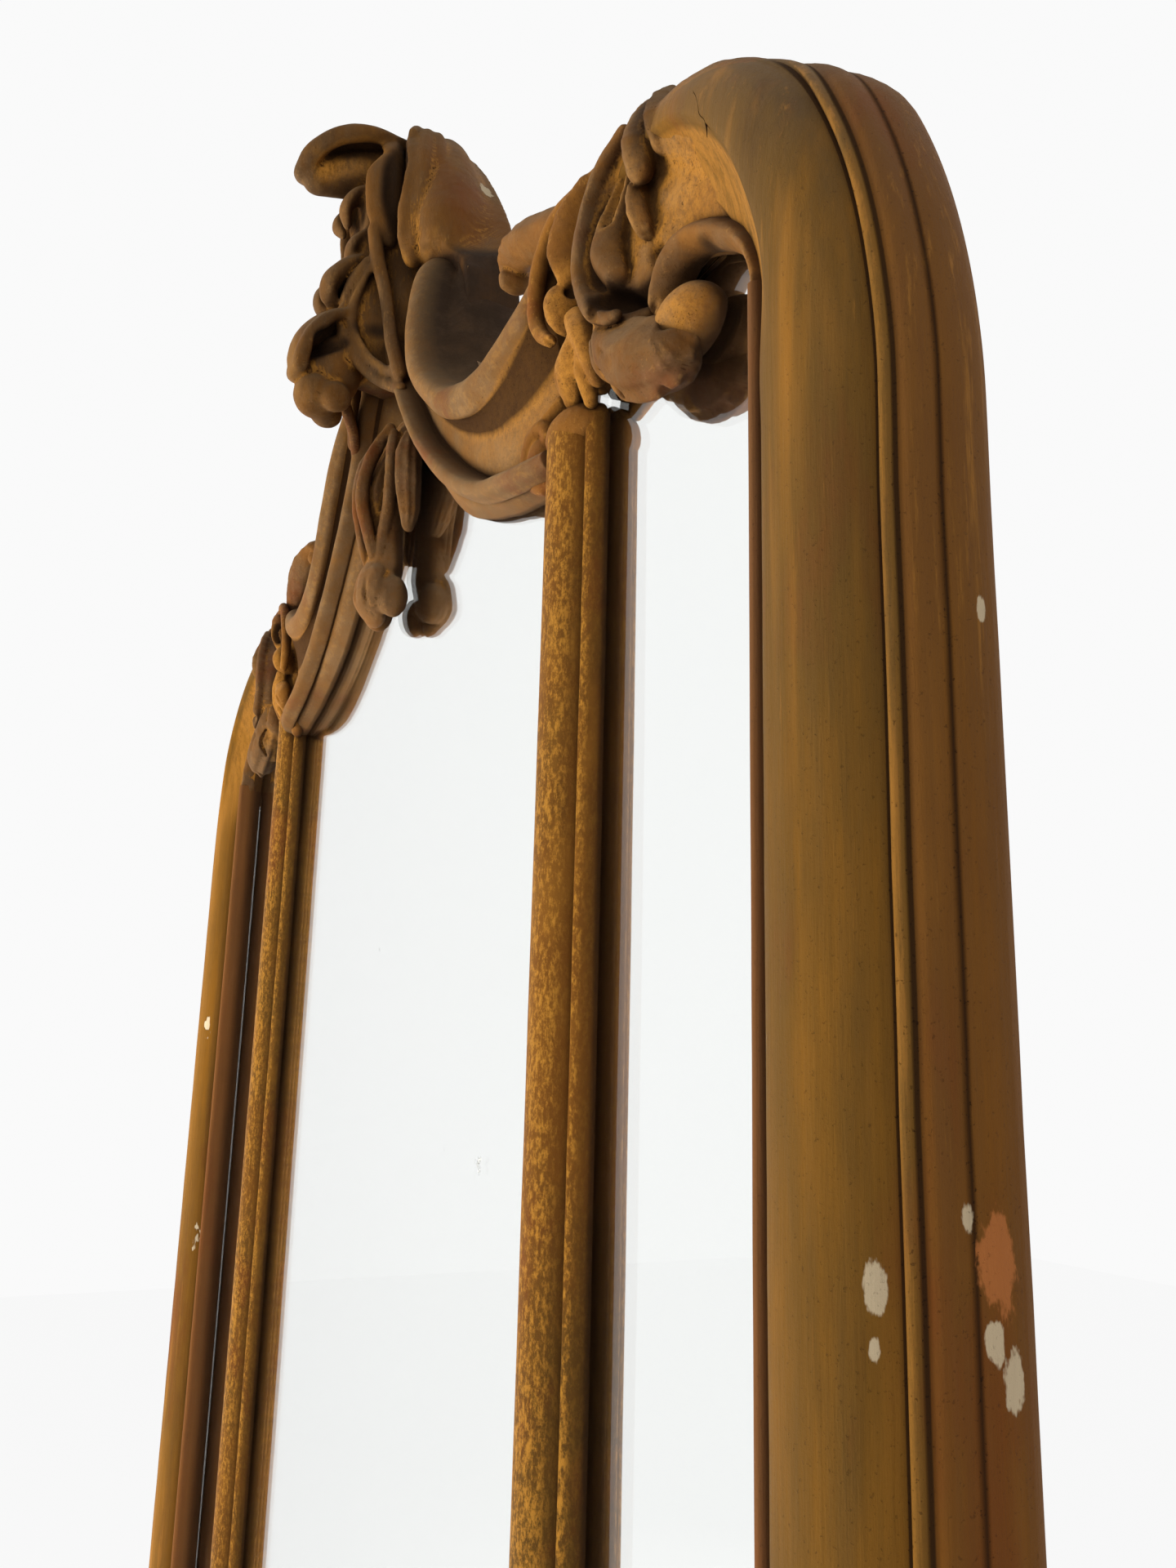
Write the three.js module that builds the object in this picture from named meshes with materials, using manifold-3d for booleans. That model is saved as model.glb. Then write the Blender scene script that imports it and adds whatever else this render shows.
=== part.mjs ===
// A carved and gilded trumeau mirror with two parclose bars, in millimetres.
// X runs across the mirror, Z up, and the wall is on the +Y side. Z = 0 is the underside, X = 0 the
// centre line and Y = 0 half way between the back and the front of the carving.
// Carving is drawn as points [x, z, h]: x from the centre line, z above the springing of the round
// shoulders, h the height in front of the glass. Only the right half is drawn, the left is its mirror.

import * as THREE from 'three'
import { mergeVertices } from 'three/addons/utils/BufferGeometryUtils.js'
import Module from 'manifold-3d'

const wasm = await Module()
wasm.setup()
const { Manifold, Mesh } = wasm

// ---------------------------------------------------------------- driving dimensions
const overallHeight = 1800
const crestRise = 473 // tip of the crest above the springing
const crestProjection = 94 // tip of the crest in front of the glass
const sightHalfWidth = 442 // centre line to the inner edge of the frame
const barCentre = 282 // centre line to the middle of a parclose bar
const clearance = 0.3 // between pieces that touch
const carvedGap = 0.6 // round a carved form, where its neighbour is cut to seat on it

const shoulderWidth = 125.3 // the quarter ellipse that the big round member follows
const shoulderHeight = 175
const beadWidth = 8.5 // the thin inner member, which ends in a volute
const beadHeight = 20
const torusRadius = 27
const torusCentreHeight = 5.5
const torusFromSight = 37.3 // inner edge to the middle of the big round member
const outerReach = 37.5 // middle of the big round member to the outside of the frame

const barWidth = 46
const barHeight = 19
const barTopZ = 94
const plateThickness = 7
const plateCover = 10 // how far the frame covers the edge of the plates
const plateGap = 4 // between two plates, behind a bar

const carcassDepth = 34
const carcassWidth = 34
const boardThickness = 8
const boardFront = 22 // depth of the backboards' front face behind the glass face
const boardRebate = 15
const boardCount = 4
const headLayerDrop = 40 // how far the head's back layer reaches below the springing
const battenWidth = 40
const glassBlockWidth = 14
const glassBlockLength = 70
const glassBlockInset = 260 // from the ends of the stile to the blocks
const tenonLength = 30
const tenonThickness = 12
const tenonWidth = 20

const ringWire = 4.4
const ringWidth = 34
const ringDrop = 22
const hangerX = 345
const hangerZ = 146
const pocketDepth = 14
const hangerPlateThickness = 3
const screwHeadRadius = 3.4

// ---------------------------------------------------------------- places worked out from them
const springing = overallHeight - crestRise
const torusCentre = sightHalfWidth + torusFromSight
const frameHalfWidth = torusCentre + outerReach
const bottomTorusZ = outerReach
const bottomSightZ = bottomTorusZ + torusFromSight
const plateEdge = sightHalfWidth + plateCover
const carcassInner = plateEdge + 1
const carcassOuter = carcassInner + carcassWidth
const carcassOffset = carcassOuter - torusCentre
const bottomRailLow = bottomTorusZ - carcassOffset
const bottomRailHigh = bottomRailLow + carcassWidth
const boardEdge = carcassInner + boardRebate
const shoulderCentre = torusCentre - shoulderWidth
const forward = new THREE.Vector3(0, -1, 0)
const sideways = new THREE.Vector3(1, 0, 0)

// The carving is drawn for these distances across, this shoulder, rise and projection, and it
// stretches with the frame if one of them is changed.
const drawnAcross = [0, 110, 282, 442, 479.3]
const builtAcross = [0, (110 * barCentre) / 282, barCentre, sightHalfWidth, torusCentre]
const [drawnShoulder, drawnTurn, drawnRise, drawnProjection] = [175, 125.3, 473, 94]
const drawnBead = 446.25
const beadCentre = sightHalfWidth + beadWidth / 2
const [shoulderFrom, shoulderTo] = [200, 300] // where the shoulder's stretch takes over
const shoulderScale = shoulderHeight / drawnShoulder
const crestScale = crestRise / drawnRise
const reliefScale = crestProjection / drawnProjection

const mix = (a, b, t) => a + (b - a) * t

function across(x) {
  const distance = Math.abs(x)
  let i = 0
  while (i < drawnAcross.length - 2 && distance > drawnAcross[i + 1]) i++
  const share = (distance - drawnAcross[i]) / (drawnAcross[i + 1] - drawnAcross[i])
  return Math.sign(x) * mix(builtAcross[i], builtAcross[i + 1], share)
}

function lifted(x, z) {
  if (z < 0) return z
  const share = THREE.MathUtils.smoothstep(Math.abs(x), shoulderFrom, shoulderTo)
  return z * mix(crestScale, shoulderScale, share)
}

// for what follows the round member's turn, measured from the thin inner member
const turned = ([x, z]) => [
  beadCentre + ((x - drawnBead) * shoulderWidth) / drawnTurn, z * shoulderScale]

const at = (x, z, h) => new THREE.Vector3(x, -h, springing + z)
const flat = ([x, z]) => [across(x), lifted(x, z)]
const drawn = ([x, z, h]) => at(...flat([x, z]), h * reliefScale)

// ---------------------------------------------------------------- geometry from rings
// faces of a closed outline, turned the way the outline runs
function capFaces(outline) {
  const faces = THREE.ShapeUtils.triangulateShape(outline, [])
  return THREE.ShapeUtils.isClockWise(outline) ? faces.map(([a, b, c]) => [a, c, b]) : faces
}

function loft(rings, caps) {
  const count = rings[0].length
  const positions = rings.flat().flatMap((p) => [p.x, p.y, p.z])
  const index = []
  for (let r = 0; r < rings.length - 1; r++) {
    for (let i = 0; i < count; i++) {
      const a = r * count + i
      const b = r * count + ((i + 1) % count)
      index.push(a, b, b + count, a, b + count, a + count)
    }
  }
  const last = (rings.length - 1) * count
  for (const [a, b, c] of capFaces(caps[0])) index.push(a, c, b)
  for (const [a, b, c] of capFaces(caps[caps.length - 1])) index.push(last + a, last + b, last + c)
  const geometry = new THREE.BufferGeometry()
  geometry.setAttribute('position', new THREE.Float32BufferAttribute(positions, 3))
  geometry.setIndex(index)
  return geometry
}

// A closed outline carried along a path. section(t, i) gives [u, v] points: v along the binormal,
// u at right angles to it and to the path.
function sweep(path, binormal, section, shear = () => 0) {
  const rings = []
  const caps = []
  path.forEach((point, i) => {
    const before = path[Math.max(i - 1, 0)]
    const after = path[Math.min(i + 1, path.length - 1)]
    const tangent = after.clone().sub(before).normalize()
    const v = binormal.clone().addScaledVector(tangent, -binormal.dot(tangent)).normalize()
    const u = new THREE.Vector3().crossVectors(tangent, v)
    const outline = section(i / (path.length - 1), i)
    rings.push(outline.map(([a, b]) => point.clone()
      .addScaledVector(u, a)
      .addScaledVector(v, b)
      .addScaledVector(tangent, shear(i, a))))
    caps.push(outline.map(([a, b]) => new THREE.Vector2(a, b)))
  })
  return solid(loft(rings, caps))
}

function solid(geometry) {
  for (const name of Object.keys(geometry.attributes)) {
    if (name !== 'position') geometry.deleteAttribute(name)
  }
  const merged = mergeVertices(geometry, 1e-4)
  const vertProperties = new Float32Array(merged.attributes.position.array)
  const triVerts = new Uint32Array(merged.index.array)
  if (signedVolume(vertProperties, triVerts) < 0) {
    for (let i = 0; i < triVerts.length; i += 3) {
      [triVerts[i], triVerts[i + 1]] = [triVerts[i + 1], triVerts[i]]
    }
  }
  return new Manifold(new Mesh({ numProp: 3, vertProperties, triVerts }))
}

function signedVolume(points, faces) {
  const corner = (i) => new THREE.Vector3().fromArray(points, faces[i] * 3)
  let total = 0
  for (let i = 0; i < faces.length; i += 3) {
    total += corner(i).dot(corner(i + 1).cross(corner(i + 2)))
  }
  return total
}

const mirrored = (body) => body.mirror([1, 0, 0])
const unite = (bodies) => Manifold.union(bodies)

// the biggest single body of a cut piece, without the slivers that the cut left
function whole(body) {
  const bodies = body.decompose()
  return bodies.reduce((best, next) => (next.volume() > best.volume() ? next : best))
}

function cut(body, ...cutters) {
  return whole(cutters.reduce((left, cutter) => left.subtract(cutter), body))
}

function box(x0, x1, z0, z1, h0, h1) {
  const geometry = new THREE.BoxGeometry(x1 - x0, h1 - h0, z1 - z0)
  geometry.translate((x0 + x1) / 2, -(h0 + h1) / 2, (z0 + z1) / 2)
  return solid(geometry)
}

// a flat board with outline [x, z] above the springing, from height h0 to height h1
function board(outline, h0, h1) {
  const shape = new THREE.Shape(outline.map(([x, z]) => new THREE.Vector2(x, z)))
  const geometry = new THREE.ExtrudeGeometry(shape, { depth: h1 - h0, bevelEnabled: false })
  geometry.rotateX(Math.PI / 2)
  geometry.translate(0, -h0, springing)
  return solid(geometry)
}

function curve(points, count) {
  const line = new THREE.CatmullRomCurve3(points.map(drawn), false, 'centripetal')
  return line.getPoints(count)
}

function arc(centreU, centreV, radius, from, to, steps) {
  const points = []
  for (let i = 0; i <= steps; i++) {
    const angle = THREE.MathUtils.degToRad(from + ((to - from) * i) / steps)
    points.push([centreU + radius * Math.cos(angle), centreV + radius * Math.sin(angle)])
  }
  return points
}

// a value that runs through the listed stops as t goes from 0 to 1
function along(stops, t) {
  const place = t * (stops.length - 1)
  const i = Math.min(Math.floor(place), stops.length - 2)
  return mix(stops[i], stops[i + 1], place - i)
}

// ---------------------------------------------------------------- carver's forms
// a path whose ends reach on by grow, so that a seat is clear of a form's ends too
function lengthened(path, grow) {
  const reach = (end, next) => end.clone().addScaledVector(
    end.clone().sub(next).normalize(), grow)
  const last = path.length - 1
  return [reach(path[0], path[1]), ...path.slice(1, last), reach(path[last], path[last - 1])]
}

// A leaf blade: a lens section, wide along the side direction and thick across it, with hollowed or
// raised edges (cup) and a round end. grow widens it all round, to cut its seat in a neighbour.
function blade(form, grow = 0) {
  const { points, side = forward, width, thick, cup = 0, steps = 6, sides = 8 } = form
  const section = (t) => {
    const half = (along(width, t) / 2) * crestScale + grow
    const depth = (along(thick, t) / 2) * crestScale + grow
    const outline = []
    for (let i = 0; i < sides; i++) {
      const angle = (2 * Math.PI * i) / sides
      const v = half * Math.cos(angle)
      outline.push([depth * Math.sin(angle) + cup * crestScale * (Math.cos(angle) ** 2), v])
    }
    return outline
  }
  return sweep(lengthened(curve(points, steps), grow), side, section)
}

// a round strand that tapers
function strand(points, radii, grow = 0, steps = 8, sides = 6) {
  const section = (t) => arc(
    0, 0, along(radii, t) * crestScale + grow, 0, 360 - 360 / sides, sides - 1)
  return sweep(lengthened(curve(points, steps), grow), forward, section)
}

function knob(place, [rx, rz, rh], grow = 0) {
  const geometry = new THREE.SphereGeometry(1, 8, 6)
  geometry.scale(...[rx, rh, rz].map((radius) => radius * crestScale + grow))
  geometry.translate(place.x, place.y, place.z)
  return solid(geometry)
}

// everything in front of the glass face, for forms that sink into it
const inFront = (body, h = 0) => body.intersect(
  box(-frameHalfWidth - 50, frameHalfWidth + 50, -50, overallHeight + 50, h, 200))

// ---------------------------------------------------------------- frame members
// middle of the big round member: up the stile and round the shoulder
function stilePath(steps, lastAngle) {
  const path = [at(torusCentre, bottomTorusZ - springing, 0), at(torusCentre, -60, 0)]
  for (let i = 0; i <= steps; i++) {
    const angle = THREE.MathUtils.degToRad((lastAngle * i) / steps)
    path.push(at(
      shoulderCentre + shoulderWidth * Math.cos(angle), shoulderHeight * Math.sin(angle), 0))
  }
  return path
}

const shoulderSteps = 9
const torusEndAngle = 92

// how much of the outer members is left: they sink under the round one towards the top
const fadeStart = 20
const fadeLength = 40
const fadeKeep = 24

function faded(outline, angle) {
  const share = THREE.MathUtils.clamp(1 - (angle - fadeStart) / fadeLength, 0.06, 1)
  return outline.map(([u, h]) => [u <= fadeKeep ? u : fadeKeep + (u - fadeKeep) * share, h])
}

// section of stile and bottom moulding, u outwards from the middle of the round member
function mouldingSection() {
  const inner = -torusFromSight + beadWidth + clearance
  const quirk = torusCentreHeight + 2
  const side = carcassOffset + clearance
  return [
    [inner, 0], [inner, quirk], [-torusRadius, quirk],
    ...arc(0, torusCentreHeight, torusRadius, 172, 8, 8),
    [torusRadius + 0.5, torusCentreHeight - 1], [torusRadius + 1.3, torusCentreHeight - 1],
    [torusRadius + 2.6, torusCentreHeight + 0.8], [torusRadius + 4, torusCentreHeight - 1],
    [torusRadius + 5, 0.5], [torusRadius + 7, -1],
    [outerReach - 1, -2], [outerReach, -4.5], [outerReach, -8],
    [outerReach - 2.2, -10.2], [outerReach - 5.5, -13.2],
    [outerReach - 17.5, -22], [side, -22], [side, 0],
  ]
}

const beadSection = (width, height) => [
  [-width / 2, 0], [-width / 2, height * 0.72], [-width / 4, height * 0.94], [0, height],
  [width / 4, height * 0.94], [width / 2, height * 0.72], [width / 2, 0],
]

const mitreGap = clearance / 1.5

function stileMoulding() {
  const shear = (i, a) => (i === 0 ? mitreGap - a : 0)
  const section = (t, i) => faded(mouldingSection(), (torusEndAngle * (i - 2)) / shoulderSteps)
  const member = sweep(stilePath(shoulderSteps, torusEndAngle), forward, section, shear)
  return unite([member, shoulderGround()])
}

// the plain sunk ground between the round member and the volute
function shoulderGround() {
  const rim = []
  const inset = torusFromSight - beadWidth - clearance - 1
  for (let degrees = 35; degrees <= 90; degrees += 11) {
    const angle = THREE.MathUtils.degToRad(degrees)
    const nx = Math.cos(angle) / shoulderWidth
    const nz = Math.sin(angle) / shoulderHeight
    const length = Math.hypot(nx, nz)
    rim.push([
      shoulderCentre + shoulderWidth * Math.cos(angle) - (inset * nx) / length,
      shoulderHeight * Math.sin(angle) - (inset * nz) / length,
    ])
  }
  const inner = [[345, 116], [374, 108], [388, 105], [402, 106], [414, 105], [424, 97]]
  return board([...rim, ...inner.map(turned)], 0, groundHeight)
}

const groundHeight = 8

const beadRun = [
  [446.25, 20], [446, 50], [444, 72], [437, 92], [425, 108], [411, 119], [396, 122], [384, 117],
  [380, 104], [384, 93], [394, 89], [403, 95],
]
const voluteEye = [400, 103]
const voluteWidth = 11
const voluteHeight = 16

function sightBead(grow = 0) {
  const run = beadRun.map((p) => at(...turned(p), 0))
  const turn = new THREE.CatmullRomCurve3(run, false, 'centripetal').getPoints(24)
  const path = [at(beadCentre, bottomTorusZ - springing, 0), at(beadCentre, -80, 0), ...turn]
  const offset = beadCentre - torusCentre
  const shear = (i, a) => (i === 0 ? mitreGap - a - offset : 0)
  const section = (t, i) => {
    const turned = Math.max(0, i - 10) / (path.length - 11)
    return beadSection(
      mix(beadWidth, voluteWidth, turned) + 2 * grow, mix(beadHeight, voluteHeight, turned) + grow)
  }
  const dish = knob(at(...turned(voluteEye), 0), [13, 13, 11], grow)
  const eye = knob(at(...turned(voluteEye), 8), [5, 5, 7], grow)
  return inFront(unite([sweep(path, forward, section, shear), dish, eye]))
}

function bottomMoulding() {
  const path = [-1, 1].map((s) => new THREE.Vector3(s * torusCentre, 0, bottomTorusZ))
  const shear = (i, a) => (i === 0 ? -1 : 1) * (a - mitreGap)
  return sweep(path, forward, mouldingSection, shear)
}

function bottomBead() {
  const inset = torusFromSight - beadWidth / 2
  const z = bottomTorusZ + inset
  const path = [-1, 1].map((s) => new THREE.Vector3(s * (torusCentre - inset), 0, z))
  const shear = (i, a) => (i === 0 ? -1 : 1) * (a - mitreGap)
  return sweep(path, forward, () => beadSection(beadWidth, beadHeight), shear)
}

// ---------------------------------------------------------------- parclose bars
const barSection = (grow = 0) => {
  const half = barWidth / 2 + grow
  const crown = 14
  const crownCentre = barHeight - crown
  return [
    [-half, 0], [-half + 1, 6 + grow], [-crown - 4, 9.5 + grow], [-crown - 0.5, 10 + grow],
    ...arc(0, crownCentre, crown + grow, 158, 22, 6),
    [crown + 0.5, 10 + grow], [crown + 4, 9.5 + grow], [half - 1, 6 + grow], [half, 0],
  ]
}

const barLow = bottomSightZ + clearance

function parcloseBar(grow = 0) {
  const path = [
    new THREE.Vector3(barCentre, 0, barLow - grow), at(barCentre, barTopZ + grow, 0)]
  const body = sweep(path, forward, () => barSection(grow))
  if (grow > 0) return body
  const half = plateGap / 2 - 0.7
  return unite([body, box(barCentre - half, barCentre + half,
    barLow, springing + barTopZ - 4, -plateThickness, 1)])
}

const barVoluteRun = [[254, 86, 5], [246, 92, 6], [240, 101, 7], [241, 111, 7], [249, 115, 8]]

function barVolute(grow = 0) {
  return inFront(unite([
    strand(barVoluteRun, [4, 5, 5.5, 5, 4], grow, 6),
    knob(drawn([250, 103, 3]), [7.5, 9, 9], grow),
  ]))
}

function barFoot() {
  const width = barWidth + 8
  const outline = () => [
    [-width / 2, 0], [-width / 2, 14], [-width / 2 + 6, 20], [-width / 4, barHeight + 5],
    [width / 4, barHeight + 5], [width / 2 - 6, 20], [width / 2, 14], [width / 2, 0],
  ]
  const low = bottomSightZ + clearance
  const path = [0, 12, 16].map((rise) => new THREE.Vector3(barCentre, 0, low + rise))
  const taper = [1, 1, 0.86]
  return sweep(path, forward, (t, i) => outline().map(([u, v]) => [u * taper[i], v * taper[i]]))
}

// ---------------------------------------------------------------- U-shaped scroll rails
// the thick outer rim and the thin inner rim of the rail, from the shoulder to the crest
const outerRim = [
  [268, 178, 22], [250, 166, 25], [225, 159, 27], [200, 157, 28], [170, 163, 29], [138, 180, 31],
  [105, 213, 34], [88, 250, 36], [78, 290, 37], [72, 318, 36]]
const innerRim = [
  [296, 96, 19], [262, 86, 22], [230, 88, 24], [196, 99, 24], [148, 127, 24], [98, 170, 25],
  [62, 212, 26], [31, 261, 28], [14, 294, 30], [8, 316, 32]]
const lowerBand = [8, 8, 8, 10, 18, 22, 26, 28, 22, 12]
const railSteps = 13

function scrollRail(grow = 0) {
  const line = (points) => new THREE.CatmullRomCurve3(
    points.map((p) => new THREE.Vector3(...p)), false, 'centripetal').getPoints(railSteps)
  const outer = line(outerRim)
  const inner = line(innerRim)
  const rings = []
  const caps = []
  outer.forEach((rim, i) => {
    const lip = inner[i]
    const span = new THREE.Vector2(rim.x - lip.x, rim.y - lip.y)
    const width = span.length()
    span.normalize()
    const [low, high] = [lip.z, rim.z]
    const band = along(lowerBand, i / railSteps)
    const outline = [
      [-band - grow, 0], [-band - grow, 4 + grow], [-band * 0.6, low * 0.55 + grow],
      [-7, low - 7 + grow], [-4, low + grow], [1, low + 2 + grow], [5, low - 1 + grow],
      [8, low - 9 + grow], [mix(8, width, 0.3), low - 8 + grow],
      [mix(8, width, 0.6), mix(low, high, 0.5) - 7 + grow],
      [width - 10, high - 2 + grow], [width - 3, high + 2 + grow], [width + 6, high + grow],
      [width + 12 + grow, high - 8], [width + 14 + grow, high - 18], [width + 15 + grow, 0],
    ]
    rings.push(outline.map(([s, h]) => drawn([lip.x + span.x * s, lip.y + span.y * s, h])))
    caps.push(outline.map(([s, h]) => new THREE.Vector2(s, h)))
  })
  const half = box(clearance / 2, frameHalfWidth, 0, overallHeight, 0, crestProjection)
  return solid(loft(rings, caps)).intersect(half)
}

// ---------------------------------------------------------------- shoulder carving
const acanthusLeaves = [
  // the leaf that closes the end of the round member
  { points: [[364, 206, 12], [374, 192, 26], [384, 172, 34], [393, 152, 35], [400, 136, 30]],
    width: [10, 18, 20, 20, 12], thick: [8, 16, 20, 20, 14] },
  // broad shell lobe with a rolled left edge
  { points: [[372, 182, 20], [350, 172, 26], [340, 150, 28], [340, 124, 28], [352, 104, 24]],
    width: [16, 30, 34, 32, 22], thick: [14, 26, 30, 28, 20] },
  // lower lobe that rolls over the volute
  { points: [[330, 134, 20], [338, 110, 26], [358, 90, 28], [382, 76, 26], [402, 76, 18]],
    width: [20, 34, 36, 34, 20], thick: [18, 30, 34, 30, 18] },
  // inner bulge of the shell lobe
  { points: [[366, 170, 24], [362, 146, 32], [360, 122, 32]],
    width: [16, 22, 16], thick: [16, 22, 16] },
  // gilded tip that hangs over the side plate
  { points: [[330, 102, 12], [338, 90, 12], [344, 76, 9], [346, 68, 6]],
    width: [20, 22, 16, 6], thick: [20, 24, 18, 8] },
]

function shoulderAcanthus(grow = 0) {
  return inFront(unite(acanthusLeaves.map((leaf) => blade({ cup: 0, ...leaf }, grow))))
}

const claspRim = [
  [310, 196, 14], [290, 190, 22], [276, 178, 26], [270, 160, 27], [276, 144, 26], [288, 132, 24]]
const claspScroll = [
  [296, 152, 26], [290, 144, 28], [296, 134, 30], [308, 136, 30], [314, 128, 28],
  [318, 116, 24], [318, 104, 18]]

// the crescent rim, the small scroll within it and the split leaf under it
function shoulderClasp(grow = 0) {
  return inFront(unite([
    strand(claspRim, [5, 7, 8, 8, 6], grow, 7),
    strand(claspScroll, [5, 6, 7, 8, 7, 5], grow, 9),
    knob(drawn([300, 143, 20]), [14, 16, 15], grow),
    knob(drawn([298, 164, 8]), [24, 30, 16], grow),
    blade({ points: [[306, 122, 18], [302, 110, 17], [300, 101, 14]],
      width: [18, 22, 10], thick: [16, 18, 10] }, grow),
  ]))
}

// round leaf tip that lies on the outer end of the rail
function railTip(grow = 0) {
  return inFront(blade({
    points: [[290, 196, 10], [262, 206, 12], [240, 214, 14], [222, 222, 14], [208, 228, 12]],
    width: [18, 24, 28, 30, 18], thick: [22, 26, 30, 28, 16] }, grow))
}

// ---------------------------------------------------------------- crest
const blockFrontHeight = 4
const blockLow = 300
const blockOutlineFront = [
  [0, 473], [24, 450], [44, 424], [54, 395], [60, 360], [63, 325], [62, blockLow]]
const blockOutlineBack = [
  [0, 458], [36, 418], [60, 387], [79, 360], [92, 335], [103, 312], [98, blockLow]]

function crestBlock() {
  const ring = (outline, h) => [
    ...outline.map(([x, z]) => at(...flat([x, z]), h)),
    ...outline.slice(1).reverse().map(([x, z]) => at(...flat([-x, z]), h)),
  ]
  const rings = [ring(blockOutlineFront, blockFrontHeight), ring(blockOutlineBack, -carcassDepth)]
  return solid(loft(rings, rings.map((ends) => ends.map((p) => new THREE.Vector2(p.x, p.z)))))
}

// keel of the cartouche: [z, half width at the block, half width at its edge, height of its edge]
const keelStations = [
  [436, 26, 16, 34], [412, 34, 22, 44], [386, 40, 22, 54], [362, 42, 18, 48], [338, 42, 18, 53],
  [312, 42, 18, 56], [284, 38, 18, 55], [262, 26, 16, 46]]

function crestKeel() {
  const rings = keelStations.map(([z, base, edge, height]) => {
    const half = [[base, 0], [mix(base, edge, 0.5), height * 0.62], [edge, height]]
    return [
      ...half.map(([x, h]) => drawn([x, z, h])),
      ...half.reverse().map(([x, h]) => drawn([-x, z, h])),
    ]
  })
  return solid(loft(rings, rings.map((ends) => ends.map((p) => new THREE.Vector2(p.x, p.y)))))
}

// the leaf at the top that breaks forward like a wave
const hoodForm = {
  points: [[0, 444, 2], [0, 444, 26], [0, 440, 50], [0, 432, 70], [0, 419, 83], [0, 400, 88]],
  side: sideways, width: [58, 62, 64, 62, 54, 36], thick: [22, 17, 14, 13, 13, 12], cup: -15 }

// fluted leaf that hangs down each side of the cartouche
const cheekForm = {
  points: [[26, 438, 14], [38, 424, 20], [47, 400, 23], [51, 374, 24], [49, 348, 23], [43, 328, 20]],
  width: [22, 36, 42, 40, 34, 16], thick: [14, 18, 20, 20, 18, 12] }

// narrow lobe in front of the fluted leaf
const cheekLobeForm = {
  points: [[24, 428, 44], [30, 408, 50], [32, 380, 51], [30, 352, 47], [26, 334, 44]],
  width: [12, 17, 18, 16, 10], thick: [10, 14, 14, 13, 9] }

// the curl at the foot of the cartouche, with its ball
const curlForm = {
  points: [[0, 296, 34], [0, 293, 52], [0, 286, 68], [0, 274, 78], [0, 258, 81], [0, 248, 78]],
  side: sideways, width: [40, 46, 48, 46, 40, 26], thick: [12, 12, 12, 12, 11, 9], cup: -4 }

const ribRun = [
  [20, 356, 48], [24, 334, 53], [26, 312, 57], [28, 290, 57], [31, 272, 52], [38, 262, 44]]

const leafletForms = [
  { points: [[16, 396, 46], [15, 388, 55], [13, 378, 61]], width: [12, 18, 9], thick: [9, 10, 7] },
  { points: [[18, 348, 48], [17, 338, 60], [14, 324, 67], [12, 312, 66]],
    width: [14, 22, 20, 10], thick: [10, 12, 12, 8] },
]

const crestHood = (grow = 0) => blade(hoodForm, grow)
const crestCheek = (grow = 0) => blade(cheekForm, grow)
const crestCurl = (grow = 0) => unite([
  blade(curlForm, grow),
  knob(drawn([0, 240, 66]), [20, 14, 13], grow),
  knob(drawn([0, 262, 58]), [18, 20, 16], grow),
])
const crestRib = (grow = 0) => strand(ribRun, [4, 5, 5, 5, 4], grow, 7)
const crestLobe = (grow = 0) => unite([
  blade(cheekLobeForm, grow), ...leafletForms.map((leaf) => blade({ side: sideways, ...leaf }, grow))])

// ---------------------------------------------------------------- pendant under the crest
const pendantForms = [
  { points: [[0, 226, 8], [0, 204, 15], [0, 176, 16], [0, 146, 15], [0, 122, 17], [0, 104, 18]],
    side: sideways, width: [30, 50, 46, 34, 40, 30], thick: [16, 26, 28, 26, 26, 20] },
  { points: [[0, 128, 20], [0, 114, 26], [0, 102, 26], [0, 92, 18]],
    side: sideways, width: [26, 38, 40, 20], thick: [14, 18, 18, 12] },
  { points: [[26, 204, 10], [34, 184, 10], [34, 164, 9], [28, 148, 7]],
    width: [12, 16, 14, 8], thick: [12, 16, 14, 8] },
]
const pendantRib = [[6, 216, 22], [9, 194, 31], [9, 164, 30], [6, 140, 27], [4, 122, 27]]
const eyelet = [[17, 194, 15], [18, 178, 15], [15, 164, 15]]

function pendant() {
  const half = [
    ...pendantForms.map((form) => blade(form)), strand(pendantRib, [4, 5, 5, 5, 4], 0, 8)]
  const both = unite([...half, ...half.map(mirrored)])
  const hole = sweep(curve(eyelet, 3), forward, () => [[-3, -40], [3, -40], [3, 40], [-3, 40]])
  return inFront(both.subtract(hole).subtract(mirrored(hole)))
}

// ---------------------------------------------------------------- foot of the frame
function cornerLeaf() {
  const bottom = bottomTorusZ - springing
  const leaf = (dx, dz, width, thick) => blade({
    points: [[479 - dx * 0.2, bottom + dz * 0.2, 30], [479 - dx, bottom + dz, 36],
      [479 - dx * 2, bottom + dz * 2, 26]],
    width, thick, steps: 4 })
  return unite([
    leaf(2, 38, [26, 34, 8], [14, 16, 8]),
    leaf(38, 2, [26, 34, 8], [14, 16, 8]),
    leaf(20, 20, [24, 26, 8], [18, 20, 8]),
    knob(drawn([479, bottom, 28]), [20, 20, 16]),
  ])
}

const shellLobes = 7

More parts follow.
